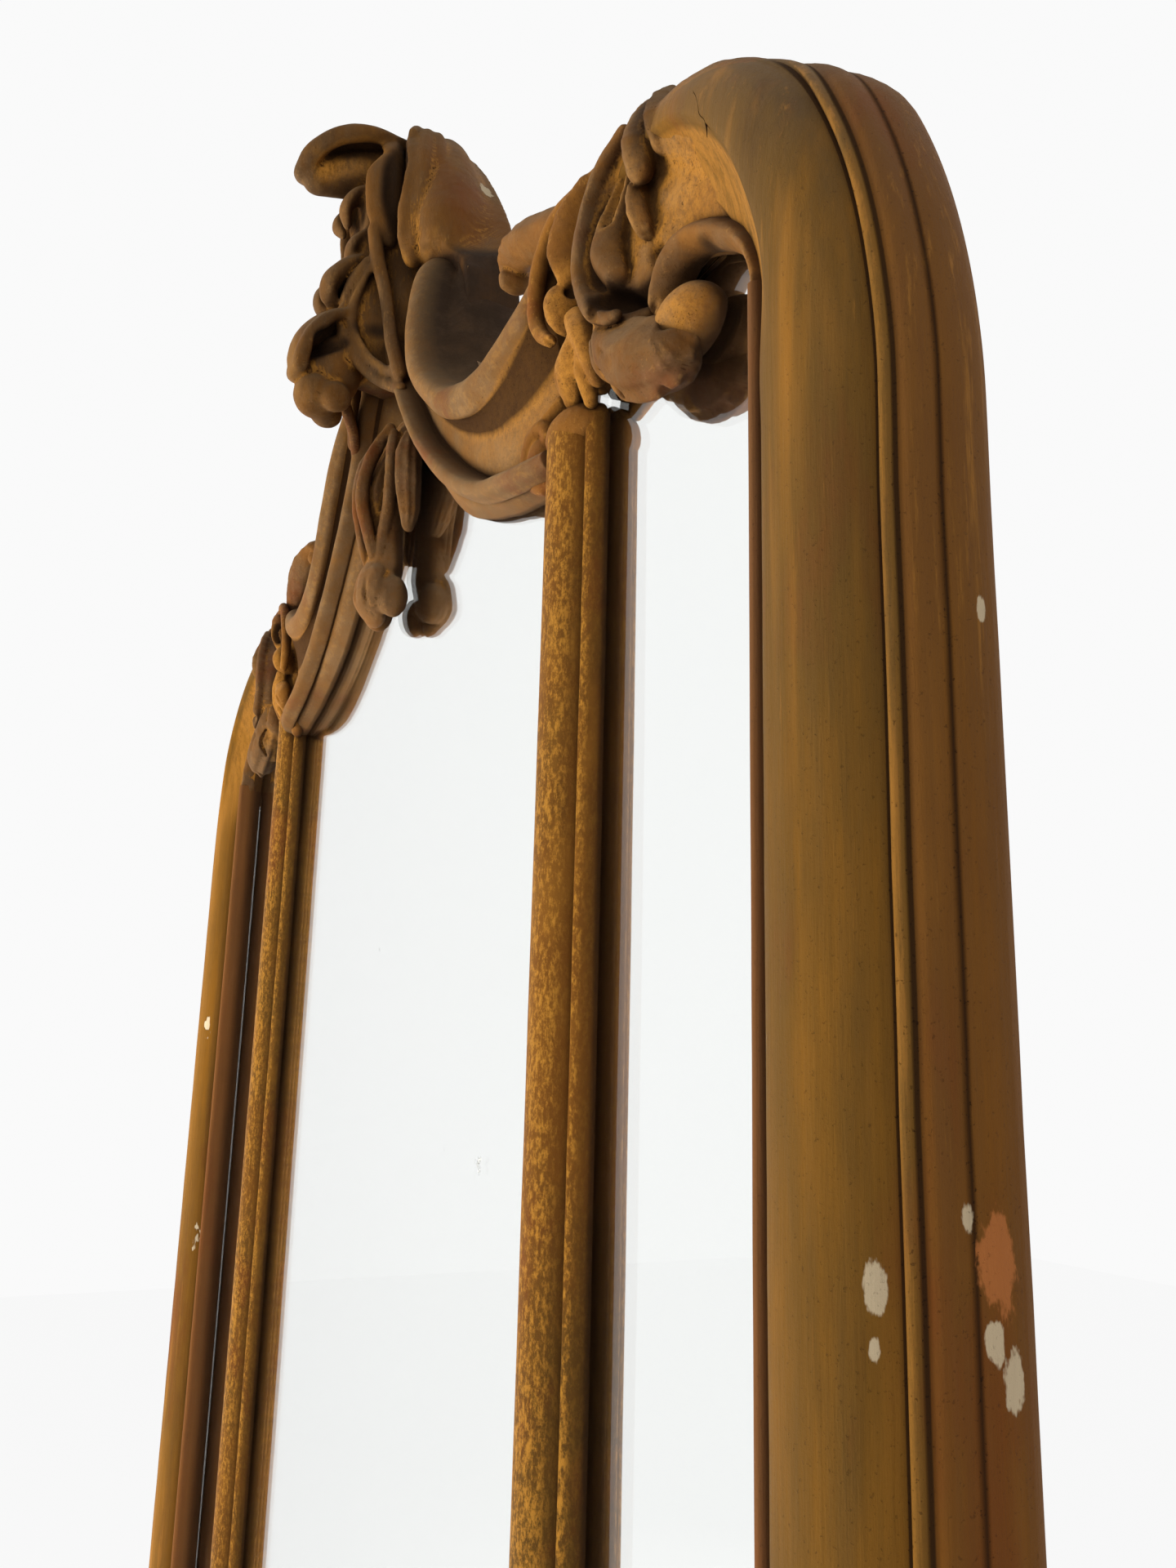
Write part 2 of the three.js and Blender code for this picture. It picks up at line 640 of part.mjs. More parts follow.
function bottomShell() {
  const low = bottomTorusZ - springing - 6
  const lobes = []
  for (let i = 0; i < shellLobes; i++) {
    const angle = THREE.MathUtils.degToRad(mix(-66, 66, i / (shellLobes - 1)))
    const reach = mix(78, 60, Math.abs(Math.sin(angle)))
    const point = (share, h) => [
      Math.sin(angle) * reach * share, low + Math.cos(angle) * reach * share, h]
    lobes.push(blade({
      points: [point(0.1, 34), point(0.5, 38), point(0.85, 34), point(1, 26)],
      width: [8, 18, 24, 12], thick: [10, 12, 12, 8], steps: 4, sides: 6 }))
  }
  return unite([...lobes, knob(drawn([0, low, 32]), [17, 15, 16])])
}

// ---------------------------------------------------------------- carcass, plates and boards
const glassCorner = 70
const glassTop = 262
const glassTopRight = [
  [436, 100], [402, 118], [200, 118], [150, 140], [105, 170], [62, 212], [24, glassTop],
  [0, glassTop]]

// the ledge line of the head: [x, z] above the springing, at a distance outside the glass line
function glassLine(grow) {
  return [
    [plateEdge + grow, lifted(plateEdge, glassCorner) + grow],
    ...glassTopRight.map(flat).map(([x, z]) => [x, z + grow])]
}

function headBoard() {
  const outer = [[carcassOuter, 0]]
  for (let degrees = 12; degrees <= 92; degrees += 10) {
    const angle = THREE.MathUtils.degToRad(degrees)
    const nx = Math.cos(angle) / shoulderWidth
    const nz = Math.sin(angle) / shoulderHeight
    const length = Math.hypot(nx, nz)
    outer.push([
      shoulderCentre + shoulderWidth * Math.cos(angle) + (carcassOffset * nx) / length,
      shoulderHeight * Math.sin(angle) + (carcassOffset * nz) / length])
  }
  const rest = [
    [318, 188], [280, 192], [240, 176], [200, 172], [172, 178], [148, 194], [120, 222],
    [104, 254]]
  const centre = clearance / 2
  const top = lifted(0, blockLow) - clearance
  const outline = [
    ...outer, ...rest.map(flat), [across(97), top], [centre, top], [centre, -headLayerDrop],
    [boardEdge - clearance, -headLayerDrop], [boardEdge - clearance, 0]]
  const full = board(outline, -carcassDepth, 0)
  const zone = board([
    ...glassLine(1), [-1, lifted(0, glassTop) + 1], [-1, -headLayerDrop - 1],
    [carcassInner, -headLayerDrop - 1]], -boardFront, 1)
  const stileZone = box(carcassInner - 1, carcassOuter + 1, springing - headLayerDrop - 1, springing,
    -boardFront, 1)
  return cut(full, zone, stileZone, stileTenon(clearance), hangerPocket())
}

const tenonMiddle = carcassInner + carcassWidth / 2 - 2

function stileTenon(grow = 0) {
  const middle = -carcassDepth / 2 + 3
  return box(
    tenonMiddle - tenonWidth / 2 - grow, tenonMiddle + tenonWidth / 2 + grow,
    springing - 1, springing + tenonLength + grow,
    middle - tenonThickness / 2 - grow, middle + tenonThickness / 2 + grow)
}

const boardZone = () => box(
  -boardEdge - clearance, boardEdge + clearance, bottomRailHigh - boardRebate - clearance,
  springing + 1, -carcassDepth - 1, -boardFront)

const lapDepth = carcassDepth / 2

function backStile() {
  const post = box(carcassInner, carcassOuter, bottomRailLow, springing - clearance,
    -carcassDepth, 0)
  const lap = box(0, carcassOuter + 1, 0, bottomRailHigh + clearance, -carcassDepth - 1, -lapDepth)
  const tongue = stileTenon()
  return whole(unite([cut(post, boardZone(), lap), tongue]))
}

function bottomRail() {
  const rail = box(-carcassOuter, carcassOuter, bottomRailLow, bottomRailHigh, -carcassDepth, 0)
  const lap = box(
    carcassInner - clearance, carcassOuter + 1, 0, bottomRailHigh + 1, -lapDepth, 1)
  return cut(rail, boardZone(), lap, mirrored(lap))
}

function plate(outline) {
  return board(outline, -plateThickness, 0)
}

const plateLow = bottomSightZ - plateCover - springing

function centrePlate() {
  const edge = barCentre - plateGap / 2
  const shaped = glassTopRight.slice(2).map(flat)
  const right = [[edge, plateLow], [edge, shaped[0][1]], ...shaped]
  const left = right.slice(0, -1).reverse().map(([x, z]) => [-x, z])
  return plate([...right, ...left])
}

function sidePlate() {
  const inner = barCentre + plateGap / 2
  const corner = glassTopRight.slice(0, 2).map(flat)
  return plate([
    [inner, plateLow], [plateEdge, plateLow], [plateEdge, lifted(plateEdge, glassCorner)],
    ...corner, [inner, corner[1][1]]])
}

function plateBatten() {
  const half = battenWidth / 2
  const high = lifted(barCentre, glassTopRight[1][1]) - 3
  return box(barCentre - half, barCentre + half, bottomRailHigh + clearance, springing + high,
    -boardFront + clearance, -plateThickness - clearance)
}

function glassBlock(z) {
  const outer = carcassInner - clearance
  return box(outer - glassBlockWidth, outer, z, z + glassBlockLength,
    -boardFront + clearance, -plateThickness - clearance)
}

function backBoard(i) {
  const width = (2 * boardEdge) / boardCount
  const left = -boardEdge + i * width
  return box(left + clearance / 2, left + width - clearance / 2, bottomRailHigh - boardRebate,
    springing - headLayerDrop - clearance, -boardFront - boardThickness, -boardFront)
}

// ---------------------------------------------------------------- hanging irons
const pocketHalfWidth = 33
const pocketLow = hangerZ - ringDrop - 2.5
const pocketHigh = hangerZ + ringDrop + 3.5
const ringAxis = carcassDepth - 6
const barrelRadius = ringWire / 2 + 2.6
const barrelLength = 16
const hangerPlateHalf = 24
const hangerScrewX = 17

function hangerPocket() {
  return box(hangerX - pocketHalfWidth, hangerX + pocketHalfWidth,
    springing + pocketLow, springing + pocketHigh, -carcassDepth - 1, -carcassDepth + pocketDepth)
}

function barrel(radius, length) {
  const geometry = new THREE.CylinderGeometry(radius, radius, length, 16)
  geometry.rotateZ(Math.PI / 2)
  geometry.translate(hangerX, ringAxis, springing + hangerZ)
  return solid(geometry)
}

function hangerPlate() {
  const floor = -carcassDepth + pocketDepth - clearance
  const bar = box(hangerX - hangerPlateHalf, hangerX + hangerPlateHalf,
    springing + hangerZ - 8, springing + hangerZ + 8, floor - hangerPlateThickness, floor)
  const web = box(hangerX - barrelLength / 2, hangerX + barrelLength / 2,
    springing + hangerZ - 3, springing + hangerZ + 3, -ringAxis, floor - 1)
  const bore = barrel(ringWire / 2 + clearance + 0.2, barrelLength + 4)
  return cut(unite([bar, web, barrel(barrelRadius, barrelLength)]), bore)
}

function hangerRing() {
  const half = ringWidth / 2 - ringWire / 2
  const low = hangerZ - ringDrop + ringWire / 2
  const path = [at(hangerX, hangerZ, -ringAxis), at(hangerX + half - 4, hangerZ, -ringAxis),
    at(hangerX + half, hangerZ - 4, -ringAxis)]
  const bendCentre = low + half
  for (let degrees = 0; degrees >= -180; degrees -= 22.5) {
    const angle = THREE.MathUtils.degToRad(degrees)
    path.push(at(hangerX + half * Math.cos(angle),
      Math.min(hangerZ - 5, bendCentre) + half * Math.sin(angle), -ringAxis))
  }
  path.push(at(hangerX - half, hangerZ - 4, -ringAxis),
    at(hangerX - half + 4, hangerZ, -ringAxis))
  return closedWire(path, ringWire / 2, 8)
}

// a round wire along a closed path in a plane across Y
function closedWire(path, radius, sides) {
  const positions = []
  const index = []
  const count = path.length
  path.forEach((point, i) => {
    const before = path[(i + count - 1) % count]
    const after = path[(i + 1) % count]
    const tangent = after.clone().sub(before).normalize()
    const u = new THREE.Vector3().crossVectors(tangent, forward)
    for (let k = 0; k < sides; k++) {
      const angle = (2 * Math.PI * k) / sides
      const p = point.clone()
        .addScaledVector(u, radius * Math.cos(angle))
        .addScaledVector(forward, radius * Math.sin(angle))
      positions.push(p.x, p.y, p.z)
      const a = i * sides + k
      const b = i * sides + ((k + 1) % sides)
      const c = ((i + 1) % count) * sides + ((k + 1) % sides)
      const d = ((i + 1) % count) * sides + k
      index.push(a, b, c, a, c, d)
    }
  })
  const geometry = new THREE.BufferGeometry()
  geometry.setAttribute('position', new THREE.Float32BufferAttribute(positions, 3))
  geometry.setIndex(index)
  return solid(geometry)
}

function hangerScrew(side) {
  const seat = -carcassDepth + pocketDepth - clearance - hangerPlateThickness - clearance
  const geometry = new THREE.LatheGeometry([
    new THREE.Vector2(0, 0), new THREE.Vector2(screwHeadRadius, 0),
    new THREE.Vector2(screwHeadRadius * 0.8, 1.4), new THREE.Vector2(0, 2)], 12)
  geometry.translate(hangerX + side * hangerScrewX, -seat, springing + hangerZ)
  return solid(geometry)
}

// ---------------------------------------------------------------- materials
const finish = (color, roughness, metalness) => (
  new THREE.MeshStandardMaterial({ color, roughness, metalness }))
const gilt = finish(0x7d5723, 0.55, 0.35)
const rubbedGilt = finish(0xa87a30, 0.45, 0.5)
const dustyGilt = finish(0x826848, 0.7, 0.15)
const pine = finish(0xa98358, 0.85, 0)
const silvered = finish(0xc8cdc8, 0.04, 0.9)
const iron = finish(0x4a4744, 0.6, 0.8)

// ---------------------------------------------------------------- assembly
const assembly = new THREE.Group()

function add(name, body, material) {
  const { vertProperties, triVerts } = body.getMesh()
  const geometry = new THREE.BufferGeometry()
  geometry.setAttribute('position', new THREE.BufferAttribute(new Float32Array(vertProperties), 3))
  geometry.setIndex(new THREE.BufferAttribute(new Uint32Array(triVerts), 1))
  geometry.computeVertexNormals()
  const mesh = new THREE.Mesh(geometry, material)
  mesh.name = name
  assembly.add(mesh)
}

function addPair(name, body, material) {
  add(`${name}_right`, body, material)
  add(`${name}_left`, mirrored(body), material)
}

const both = (body) => unite([body, mirrored(body)])

// carcass
addPair('back_stile', backStile(), pine)
addPair('back_head', headBoard(), pine)
add('back_rail_bottom', bottomRail(), pine)
addPair('plate_batten', plateBatten(), pine)
for (let i = 0; i < boardCount; i++) add(`backboard_${i + 1}`, backBoard(i), pine)
addPair('glass_block_low', glassBlock(bottomRailHigh + glassBlockInset), pine)
addPair('glass_block_high', glassBlock(springing - glassBlockInset - glassBlockLength), pine)

// plates
add('mirror_plate_center', centrePlate(), silvered)
addPair('mirror_plate_side', sidePlate(), silvered)

// members that keep their whole shape
const bar = parcloseBar()
const barSeat = parcloseBar(clearance)
const rail = scrollRail()
const railSeat = scrollRail(clearance)
const bead = sightBead()
const beadSeat = sightBead(clearance)
const volute = cut(barVolute(), barSeat)
const voluteSeat = barVolute(clearance)

const moulding = cut(stileMoulding(), beadSeat, railSeat)
const mouldingSeat = moulding.translate([0, -clearance, 0])
const barRail = cut(rail, barSeat, voluteSeat, beadSeat)
addPair('parclose_bar', bar, rubbedGilt)
addPair('bar_volute', volute, rubbedGilt)
addPair('sight_bead', bead, dustyGilt)
addPair('stile_moulding', moulding, gilt)
addPair('top_scroll', barRail, dustyGilt)
add('bottom_moulding', bottomMoulding(), gilt)
add('bottom_bead', bottomBead(), dustyGilt)

// shoulder carving, each piece cut to sit on those under it
const fixedSeats = [barSeat, railSeat, beadSeat, moulding, mouldingSeat, voluteSeat]
const clasp = cut(shoulderClasp(), ...fixedSeats)
const claspSeat = shoulderClasp(carvedGap)
const acanthus = cut(shoulderAcanthus(), ...fixedSeats, claspSeat)
const acanthusSeat = shoulderAcanthus(carvedGap)
const tip = cut(railTip(), ...fixedSeats, claspSeat, acanthusSeat)
addPair('shoulder_clasp', clasp, rubbedGilt)
addPair('shoulder_acanthus', acanthus, gilt)
addPair('rail_tip_leaf', tip, dustyGilt)

// crest
const block = cut(crestBlock(), both(railSeat))
const blockSeat = box(-frameHalfWidth, frameHalfWidth, springing, overallHeight + 1,
  -carcassDepth, blockFrontHeight + clearance)
const curl = cut(crestCurl(), both(railSeat), blockSeat)
const curlSeat = both(crestCurl(carvedGap))
const hood = cut(crestHood(), blockSeat)
const hoodRoom = crestHood(carvedGap)
const hoodSeat = both(unite([hoodRoom, hoodRoom.translate([0, 0, -carvedGap])]))
const rib = cut(crestRib(), railSeat, curlSeat, hoodSeat)
const ribSeat = crestRib(carvedGap)
const cheek = cut(crestCheek(), blockSeat, hoodSeat, railSeat, ribSeat)
const cheekSeat = crestCheek(carvedGap)
const lobe = cut(crestLobe(), railSeat, hoodSeat, cheekSeat, curlSeat, ribSeat)
const lobeSeat = crestLobe(carvedGap)
const keel = cut(crestKeel(), blockSeat, both(railSeat), hoodSeat, curlSeat,
  both(cheekSeat), both(lobeSeat), both(ribSeat))
add('crest_block', block, gilt)
add('crest_keel', keel, gilt)
add('crest_hood', hood, dustyGilt)
add('crest_curl', curl, dustyGilt)
addPair('crest_rib', rib, dustyGilt)
addPair('crest_cheek', cheek, gilt)
addPair('crest_lobe', lobe, dustyGilt)
add('pendant_leaf', cut(pendant(), both(railSeat), curlSeat), dustyGilt)

// foot of the frame
const bottomSeat = unite([bottomMoulding(), bottomBead()])
const footSeats = [bottomSeat, bottomSeat.translate([0, -clearance, 0]), both(moulding),
  both(mouldingSeat), both(beadSeat)]
addPair('corner_leaf', cut(inFront(cornerLeaf()), ...footSeats), gilt)
add('bottom_shell', cut(inFront(bottomShell()), ...footSeats), dustyGilt)
addPair('bar_foot', cut(barFoot(), barSeat, ...footSeats), rubbedGilt)

// hanging irons in the back of the head
addPair('hanger_plate', hangerPlate(), iron)
addPair('hanger_ring', hangerRing(), iron)
addPair('hanger_screw_inner', hangerScrew(-1), iron)
addPair('hanger_screw_outer', hangerScrew(1), iron)

// Y = 0 half way between back and front
const bounds = new THREE.Box3().setFromObject(assembly)
assembly.position.y = -(bounds.min.y + bounds.max.y) / 2

export default assembly
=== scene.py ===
"""A carved and gilded trumeau mirror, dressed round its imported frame.

Carving is drawn as the maker would set it out: points (x, z, h) in millimetres, x from the centre line,
z above the springing of the round shoulders, h in front of the glass. The right half is drawn and the
left half is its mirror. Carved leaves are built as one solid of blended strokes on a fine grid, and its
skin becomes the mesh.
"""

import math

import bmesh
import bpy
import numpy as np
from mathutils import Matrix, Vector

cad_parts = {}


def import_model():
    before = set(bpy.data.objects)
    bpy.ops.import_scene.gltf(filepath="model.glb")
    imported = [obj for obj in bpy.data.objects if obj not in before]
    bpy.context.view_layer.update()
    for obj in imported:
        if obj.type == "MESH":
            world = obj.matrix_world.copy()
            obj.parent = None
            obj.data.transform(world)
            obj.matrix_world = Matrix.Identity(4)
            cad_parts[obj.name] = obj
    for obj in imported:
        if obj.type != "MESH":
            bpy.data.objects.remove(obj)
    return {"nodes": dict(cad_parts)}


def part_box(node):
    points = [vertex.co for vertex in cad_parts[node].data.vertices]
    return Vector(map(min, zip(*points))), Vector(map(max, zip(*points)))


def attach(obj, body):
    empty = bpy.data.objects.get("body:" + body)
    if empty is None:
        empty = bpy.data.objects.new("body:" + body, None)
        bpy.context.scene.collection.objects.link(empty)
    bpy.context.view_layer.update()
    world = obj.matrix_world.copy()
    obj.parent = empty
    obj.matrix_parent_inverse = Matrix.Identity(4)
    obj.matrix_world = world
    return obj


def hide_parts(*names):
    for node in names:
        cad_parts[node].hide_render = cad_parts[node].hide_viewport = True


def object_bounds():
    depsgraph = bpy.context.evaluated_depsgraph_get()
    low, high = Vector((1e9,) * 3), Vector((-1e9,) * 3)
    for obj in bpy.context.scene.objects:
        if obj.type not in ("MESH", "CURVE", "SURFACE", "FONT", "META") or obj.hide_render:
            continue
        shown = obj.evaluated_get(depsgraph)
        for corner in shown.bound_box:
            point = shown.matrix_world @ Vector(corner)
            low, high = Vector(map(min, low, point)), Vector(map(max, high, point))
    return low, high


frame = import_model()
cad_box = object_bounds()
nodes = frame["nodes"]

MM = 0.001
GLASS_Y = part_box("mirror_plate_center")[0].y
CREST_RISE = 473
SPRINGING = cad_box[1][2] - CREST_RISE * MM
FORWARD = np.array((0.0, 0.0, 1.0))
SIDEWAYS = np.array((1.0, 0.0, 0.0))
UPWARDS = np.array((0.0, 1.0, 0.0))
BODY = "mirror"

BAR_X = 282
BAR_TOP_Z = 94
TORUS_X = 479.3
TORUS_RADIUS = 27
TORUS_H = 5.5
BOTTOM_Z = 37.5 - SPRINGING / MM
SIGHT_LOW_Z = 74.8 - SPRINGING / MM
SHOULDER_X = 354
SHOULDER_WIDTH = 125.3
SHOULDER_HEIGHT = 175
BEAD_X = 446.25


# ---------------------------------------------------------------- places and lines
def world(points):
    """Carver's points (x, z, h) in millimetres as world points in metres."""
    p = np.asarray(points, float)
    return np.stack([p[..., 0] * MM, GLASS_Y - p[..., 2] * MM, SPRINGING + p[..., 1] * MM], axis=-1)


def smooth_line(points, count):
    """Catmull-Rom line through the points."""
    p = np.array(points, float)
    p = np.vstack([2 * p[0] - p[1], p, 2 * p[-1] - p[-2]])
    t = np.linspace(0, len(points) - 1 - 1e-9, count)
    i = t.astype(int)
    f = (t - i)[:, None]
    a, b, c, d = p[i], p[i + 1], p[i + 2], p[i + 3]
    return 0.5 * (2 * b + (c - a) * f + (2 * a - 5 * b + 4 * c - d) * f**2 + (3 * b - a - 3 * c + d) * f**3)


def stops(values, count):
    """A value that runs through the listed stops, at count places."""
    return np.interp(np.linspace(0, len(values) - 1, count), np.arange(len(values)), values)


def ripple(p, size, seed=0):
    """Soft unevenness from -1 to 1 at points p, with bumps about size millimetres across."""
    rng = np.random.default_rng(seed)
    total = 0
    for _ in range(6):
        way = rng.normal(size=3)
        way *= rng.uniform(0.7, 1.4) * 2 * math.pi / (size * np.linalg.norm(way))
        total = total + np.sin(p[0] * way[0] + p[1] * way[1] + p[2] * way[2] + rng.uniform(0, 7))
    return total / 6


# ---------------------------------------------------------------- strokes of the carver
KEEN = 1.6  # 2 makes the section of a leaf an ellipse, and less makes its edges and its ridge keener


def strand(points, radii, steps=18):
    """A round strand through the points."""
    line = smooth_line(points, steps)
    girth = stops(radii, steps)

    def distance(x, z, h):
        best = None
        for a, b, ra, rb in zip(line[:-1], line[1:], girth[:-1], girth[1:]):
            d = b - a
            px, pz, ph = x - a[0], z - a[1], h - a[2]
            t = np.clip((px * d[0] + pz * d[1] + ph * d[2]) / (d @ d + 1e-9), 0, 1)
            gap = np.sqrt((px - t * d[0]) ** 2 + (pz - t * d[1]) ** 2 + (ph - t * d[2]) ** 2)
            gap -= ra + (rb - ra) * t
            best = gap if best is None else np.minimum(best, gap)
        return best

    return line, girth.max(), distance


def leaf(points, width, thick, side=FORWARD, cup=0.0, flutes=0, depth=0.0, steps=26):
    """A blade with a lens section, width along side and thick across it. Its edges bend by cup, and
    flutes run along it."""
    line = smooth_line(points, steps)
    half = stops(width, steps) / 2
    deep = stops(thick, steps) / 2
    tangent = np.gradient(line, axis=0)
    tangent /= np.linalg.norm(tangent, axis=1)[:, None]
    v_way = side - tangent * (tangent @ side)[:, None]
    v_way /= np.linalg.norm(v_way, axis=1)[:, None]
    u_way = np.cross(tangent, v_way)

    def distance(x, z, h):
        shape = np.broadcast(x, z, h).shape
        near = np.full(shape, 1e9, np.float32)
        u, v, w, hw, ht, run = (np.zeros(shape, np.float32) for _ in range(6))
        for i in range(steps - 1):
            a, d = line[i], line[i + 1] - line[i]
            px, pz, ph = x - a[0], z - a[1], h - a[2]
            t = np.clip((px * d[0] + pz * d[1] + ph * d[2]) / (d @ d + 1e-9), 0, 1)
            ox, oz, oh = px - t * d[0], pz - t * d[1], ph - t * d[2]
            far = ox * ox + oz * oz + oh * oh
            closer = far < near
            near = np.where(closer, far, near)
            for target, ways in ((u, u_way), (v, v_way), (w, tangent)):
                way, turn = ways[i], ways[i + 1] - ways[i]
                value = (ox * (way[0] + t * turn[0]) + oz * (way[1] + t * turn[1])
                         + oh * (way[2] + t * turn[2]))
                if target is w:
                    beyond = ((t <= 0) & (i == 0)) | ((t >= 1) & (i == steps - 2))
                    value = value * beyond
                np.copyto(target, value, where=closer)
            np.copyto(hw, half[i] + (half[i + 1] - half[i]) * t, where=closer)
            np.copyto(ht, deep[i] + (deep[i + 1] - deep[i]) * t, where=closer)
            np.copyto(run, (i + t) * 2 / (steps - 1) - 1, where=closer)
        y = v / hw
        a = u - cup * np.minimum(y * y, 2)
        if flutes:
            a = a - depth * np.cos(math.pi * flutes * y) * np.clip(1.2 - np.abs(y), 0, 1) * (1 - run**4)
        q = (np.abs(y) ** KEEN + np.abs(a / ht) ** KEEN + np.abs(w / ht) ** KEEN) ** (1 / KEEN)
        return (q - 1) * np.minimum(hw, ht)

    return line, max(half.max(), deep.max()) + abs(cup) + abs(depth), distance


def knob(place, radii):
    """An egg shape with its own radius along x, z and h."""
    def distance(x, z, h):
        q = np.sqrt(
            ((x - place[0]) / radii[0]) ** 2 + ((z - place[1]) / radii[1]) ** 2
            + ((h - place[2]) / radii[2]) ** 2)
        return (q - 1) * min(radii)

    return np.array([place]), max(radii), distance


def tapered(rows, h_low, h_high, z_low, z_high):
    """A block symmetric about the centre line. Each row is (z, half width at h_low, half width at
    h_high, top h)."""
    z_rows, low_rows, high_rows, top_rows = (np.array(column, float) for column in zip(*sorted(rows)))

    def distance(x, z, h):
        z_flat = z.ravel()
        low = np.interp(z_flat, z_rows, low_rows).reshape(z.shape)
        high = np.interp(z_flat, z_rows, high_rows).reshape(z.shape)
        top = np.interp(z_flat, z_rows, top_rows).reshape(z.shape)
        share = np.clip((h - h_low) / (top - h_low), 0, 1)
        side = (np.abs(x) - low - (high - low) * share) * 0.8
        return np.maximum.reduce([side + 0 * h, (h - top) + 0 * x, (h_low - h) + 0 * x + 0 * z,
                                  (z_low - z) + 0 * x + 0 * h, (z - z_high) + 0 * x + 0 * h])

    corners = np.array([[0, z_low, h_low], [max(low_rows.max(), high_rows.max()), z_high, h_high]])
    return corners, 2, distance


class Carving:
    """Distances to the carved surface on a grid, in millimetres: below 0 is inside the wood."""

    OUTSIDE = 60.0

    def __init__(self, low, high, cell=1.2):
        self.low = np.array(low, float)
        self.cell = cell
        self.axes = [np.arange(a, b + cell, cell, dtype=np.float32) for a, b in zip(low, high)]
        self.value = np.full([len(axis) for axis in self.axes], self.OUTSIDE, np.float32)
        self.tints = []

    def window(self, points, margin):
        """The part of the grid round the points, as slices and as its x, z and h."""
        spans = tuple(
            slice(int(np.searchsorted(axis, points[:, k].min() - margin)),
                  int(np.searchsorted(axis, points[:, k].max() + margin)))
            for k, axis in enumerate(self.axes))
        x, z, h = (axis[span] for axis, span in zip(self.axes, spans))
        return spans, (x[:, None, None], z[None, :, None], h[None, None, :])

    def stroke(self, form, blend, deeper):
        """One form joined to the wood, or cut from it when deeper, with a soft joint blend wide."""
        points, reach, distance = form
        spans, place = self.window(points, reach + blend + 3 * self.cell)
        if 0 in self.value[spans].shape:
            return self
        near = distance(*place).astype(np.float32)
        now = self.value[spans]
        if deeper:
            now = -now
        share = np.maximum(blend - np.abs(now - near), 0) / max(blend, 1e-6)
        joined = np.minimum(now, near) - share * share * blend / 4
        self.value[spans] = -joined if deeper else joined
        return self

    def put(self, *forms, blend=2.0):
        """Wood added in each form."""
        for form in forms:
            self.stroke(form, blend, False)
        return self

    def take(self, *forms, blend=1.5):
        """Wood cut away in each form."""
        for form in forms:
            self.stroke(form, blend, True)
        return self

    def tint(self, mark, reach, *forms):
        """Mark the surface near the forms: 1 on them and 0 at reach from them."""
        self.tints.extend((mark, reach, form[2]) for form in forms)
        return self

    def flat_back(self, h):
        """Everything behind h cut off flat."""
        self.value = np.maximum(self.value, h - self.axes[2][None, None, :])
        return self

    def weather(self, amount=0.35, size=9, seed=1):
        """The surface made a little uneven, as old gesso is."""
        place = (self.axes[0][:, None, None], self.axes[1][None, :, None], self.axes[2][None, None, :])
        self.value += (amount * ripple(place, size, seed) + amount * 0.5 * ripple(place, size * 0.4, seed + 9)
                       ).astype(np.float32)
        return self

    def softened(self, passes):
        """The field evened out over neighbouring samples."""
        for _ in range(passes):
            for axis in range(3):
                v = np.moveaxis(self.value, axis, 0)
                v[1:-1] = (v[:-2] + 2 * v[1:-1] + v[2:]) / 4
        return self

    def both_halves(self):
        """The grid joined to its mirror across the centre line."""
        self.value = np.concatenate([self.value[:0:-1], self.value])
        self.axes[0] = np.concatenate([-self.axes[0][:0:-1], self.axes[0]])
        self.low[0] = self.axes[0][0]
        return self

    def hollowness(self, radius, floor):
        """How hollow the surface is round each sample: 0 flat, above 0 in a dip, below 0 on a ridge."""
        solid = np.clip(0.5 - self.value / self.cell, 0, 1)
        if floor is not None:
            solid = np.maximum(solid, (self.axes[2] < floor)[None, None, :])
        reach = max(1, int(round(radius / self.cell)))
        for axis in range(3):
            padded = np.concatenate([np.repeat(solid.take([0], axis), reach + 1, axis), solid,
                                     np.repeat(solid.take([-1], axis), reach, axis)], axis)
            total = np.cumsum(padded, axis, dtype=np.float32)
            width = 2 * reach + 1
            count = padded.shape[axis]
            solid = (total.take(range(width, count), axis) - total.take(range(count - width), axis)) / width
        return (solid - 0.5) * 2

    def drawn_on(self, f, local):
        """The places moved onto the surface along the slope of the field."""
        limit = np.array(f.shape) - 1.001

        def field(place):
            place = np.clip(place, 0, limit)
            low = place.astype(int)
            x, z, h = (place - low).T
            total = 0
            for i in (0, 1):
                for j in (0, 1):
                    for k in (0, 1):
                        share = (x if i else 1 - x) * (z if j else 1 - z) * (h if k else 1 - h)
                        total = total + share * f[low[:, 0] + i, low[:, 1] + j, low[:, 2] + k]
            return total

        for _ in range(2):
            slope = np.stack([field(local + step) - field(local - step) for step in np.eye(3) * 0.5], axis=1)
            move = field(local)[:, None] * slope / (np.sum(slope * slope, axis=1)[:, None] + 1e-6)
            local = local - np.clip(move, -0.4, 0.4)
        return local

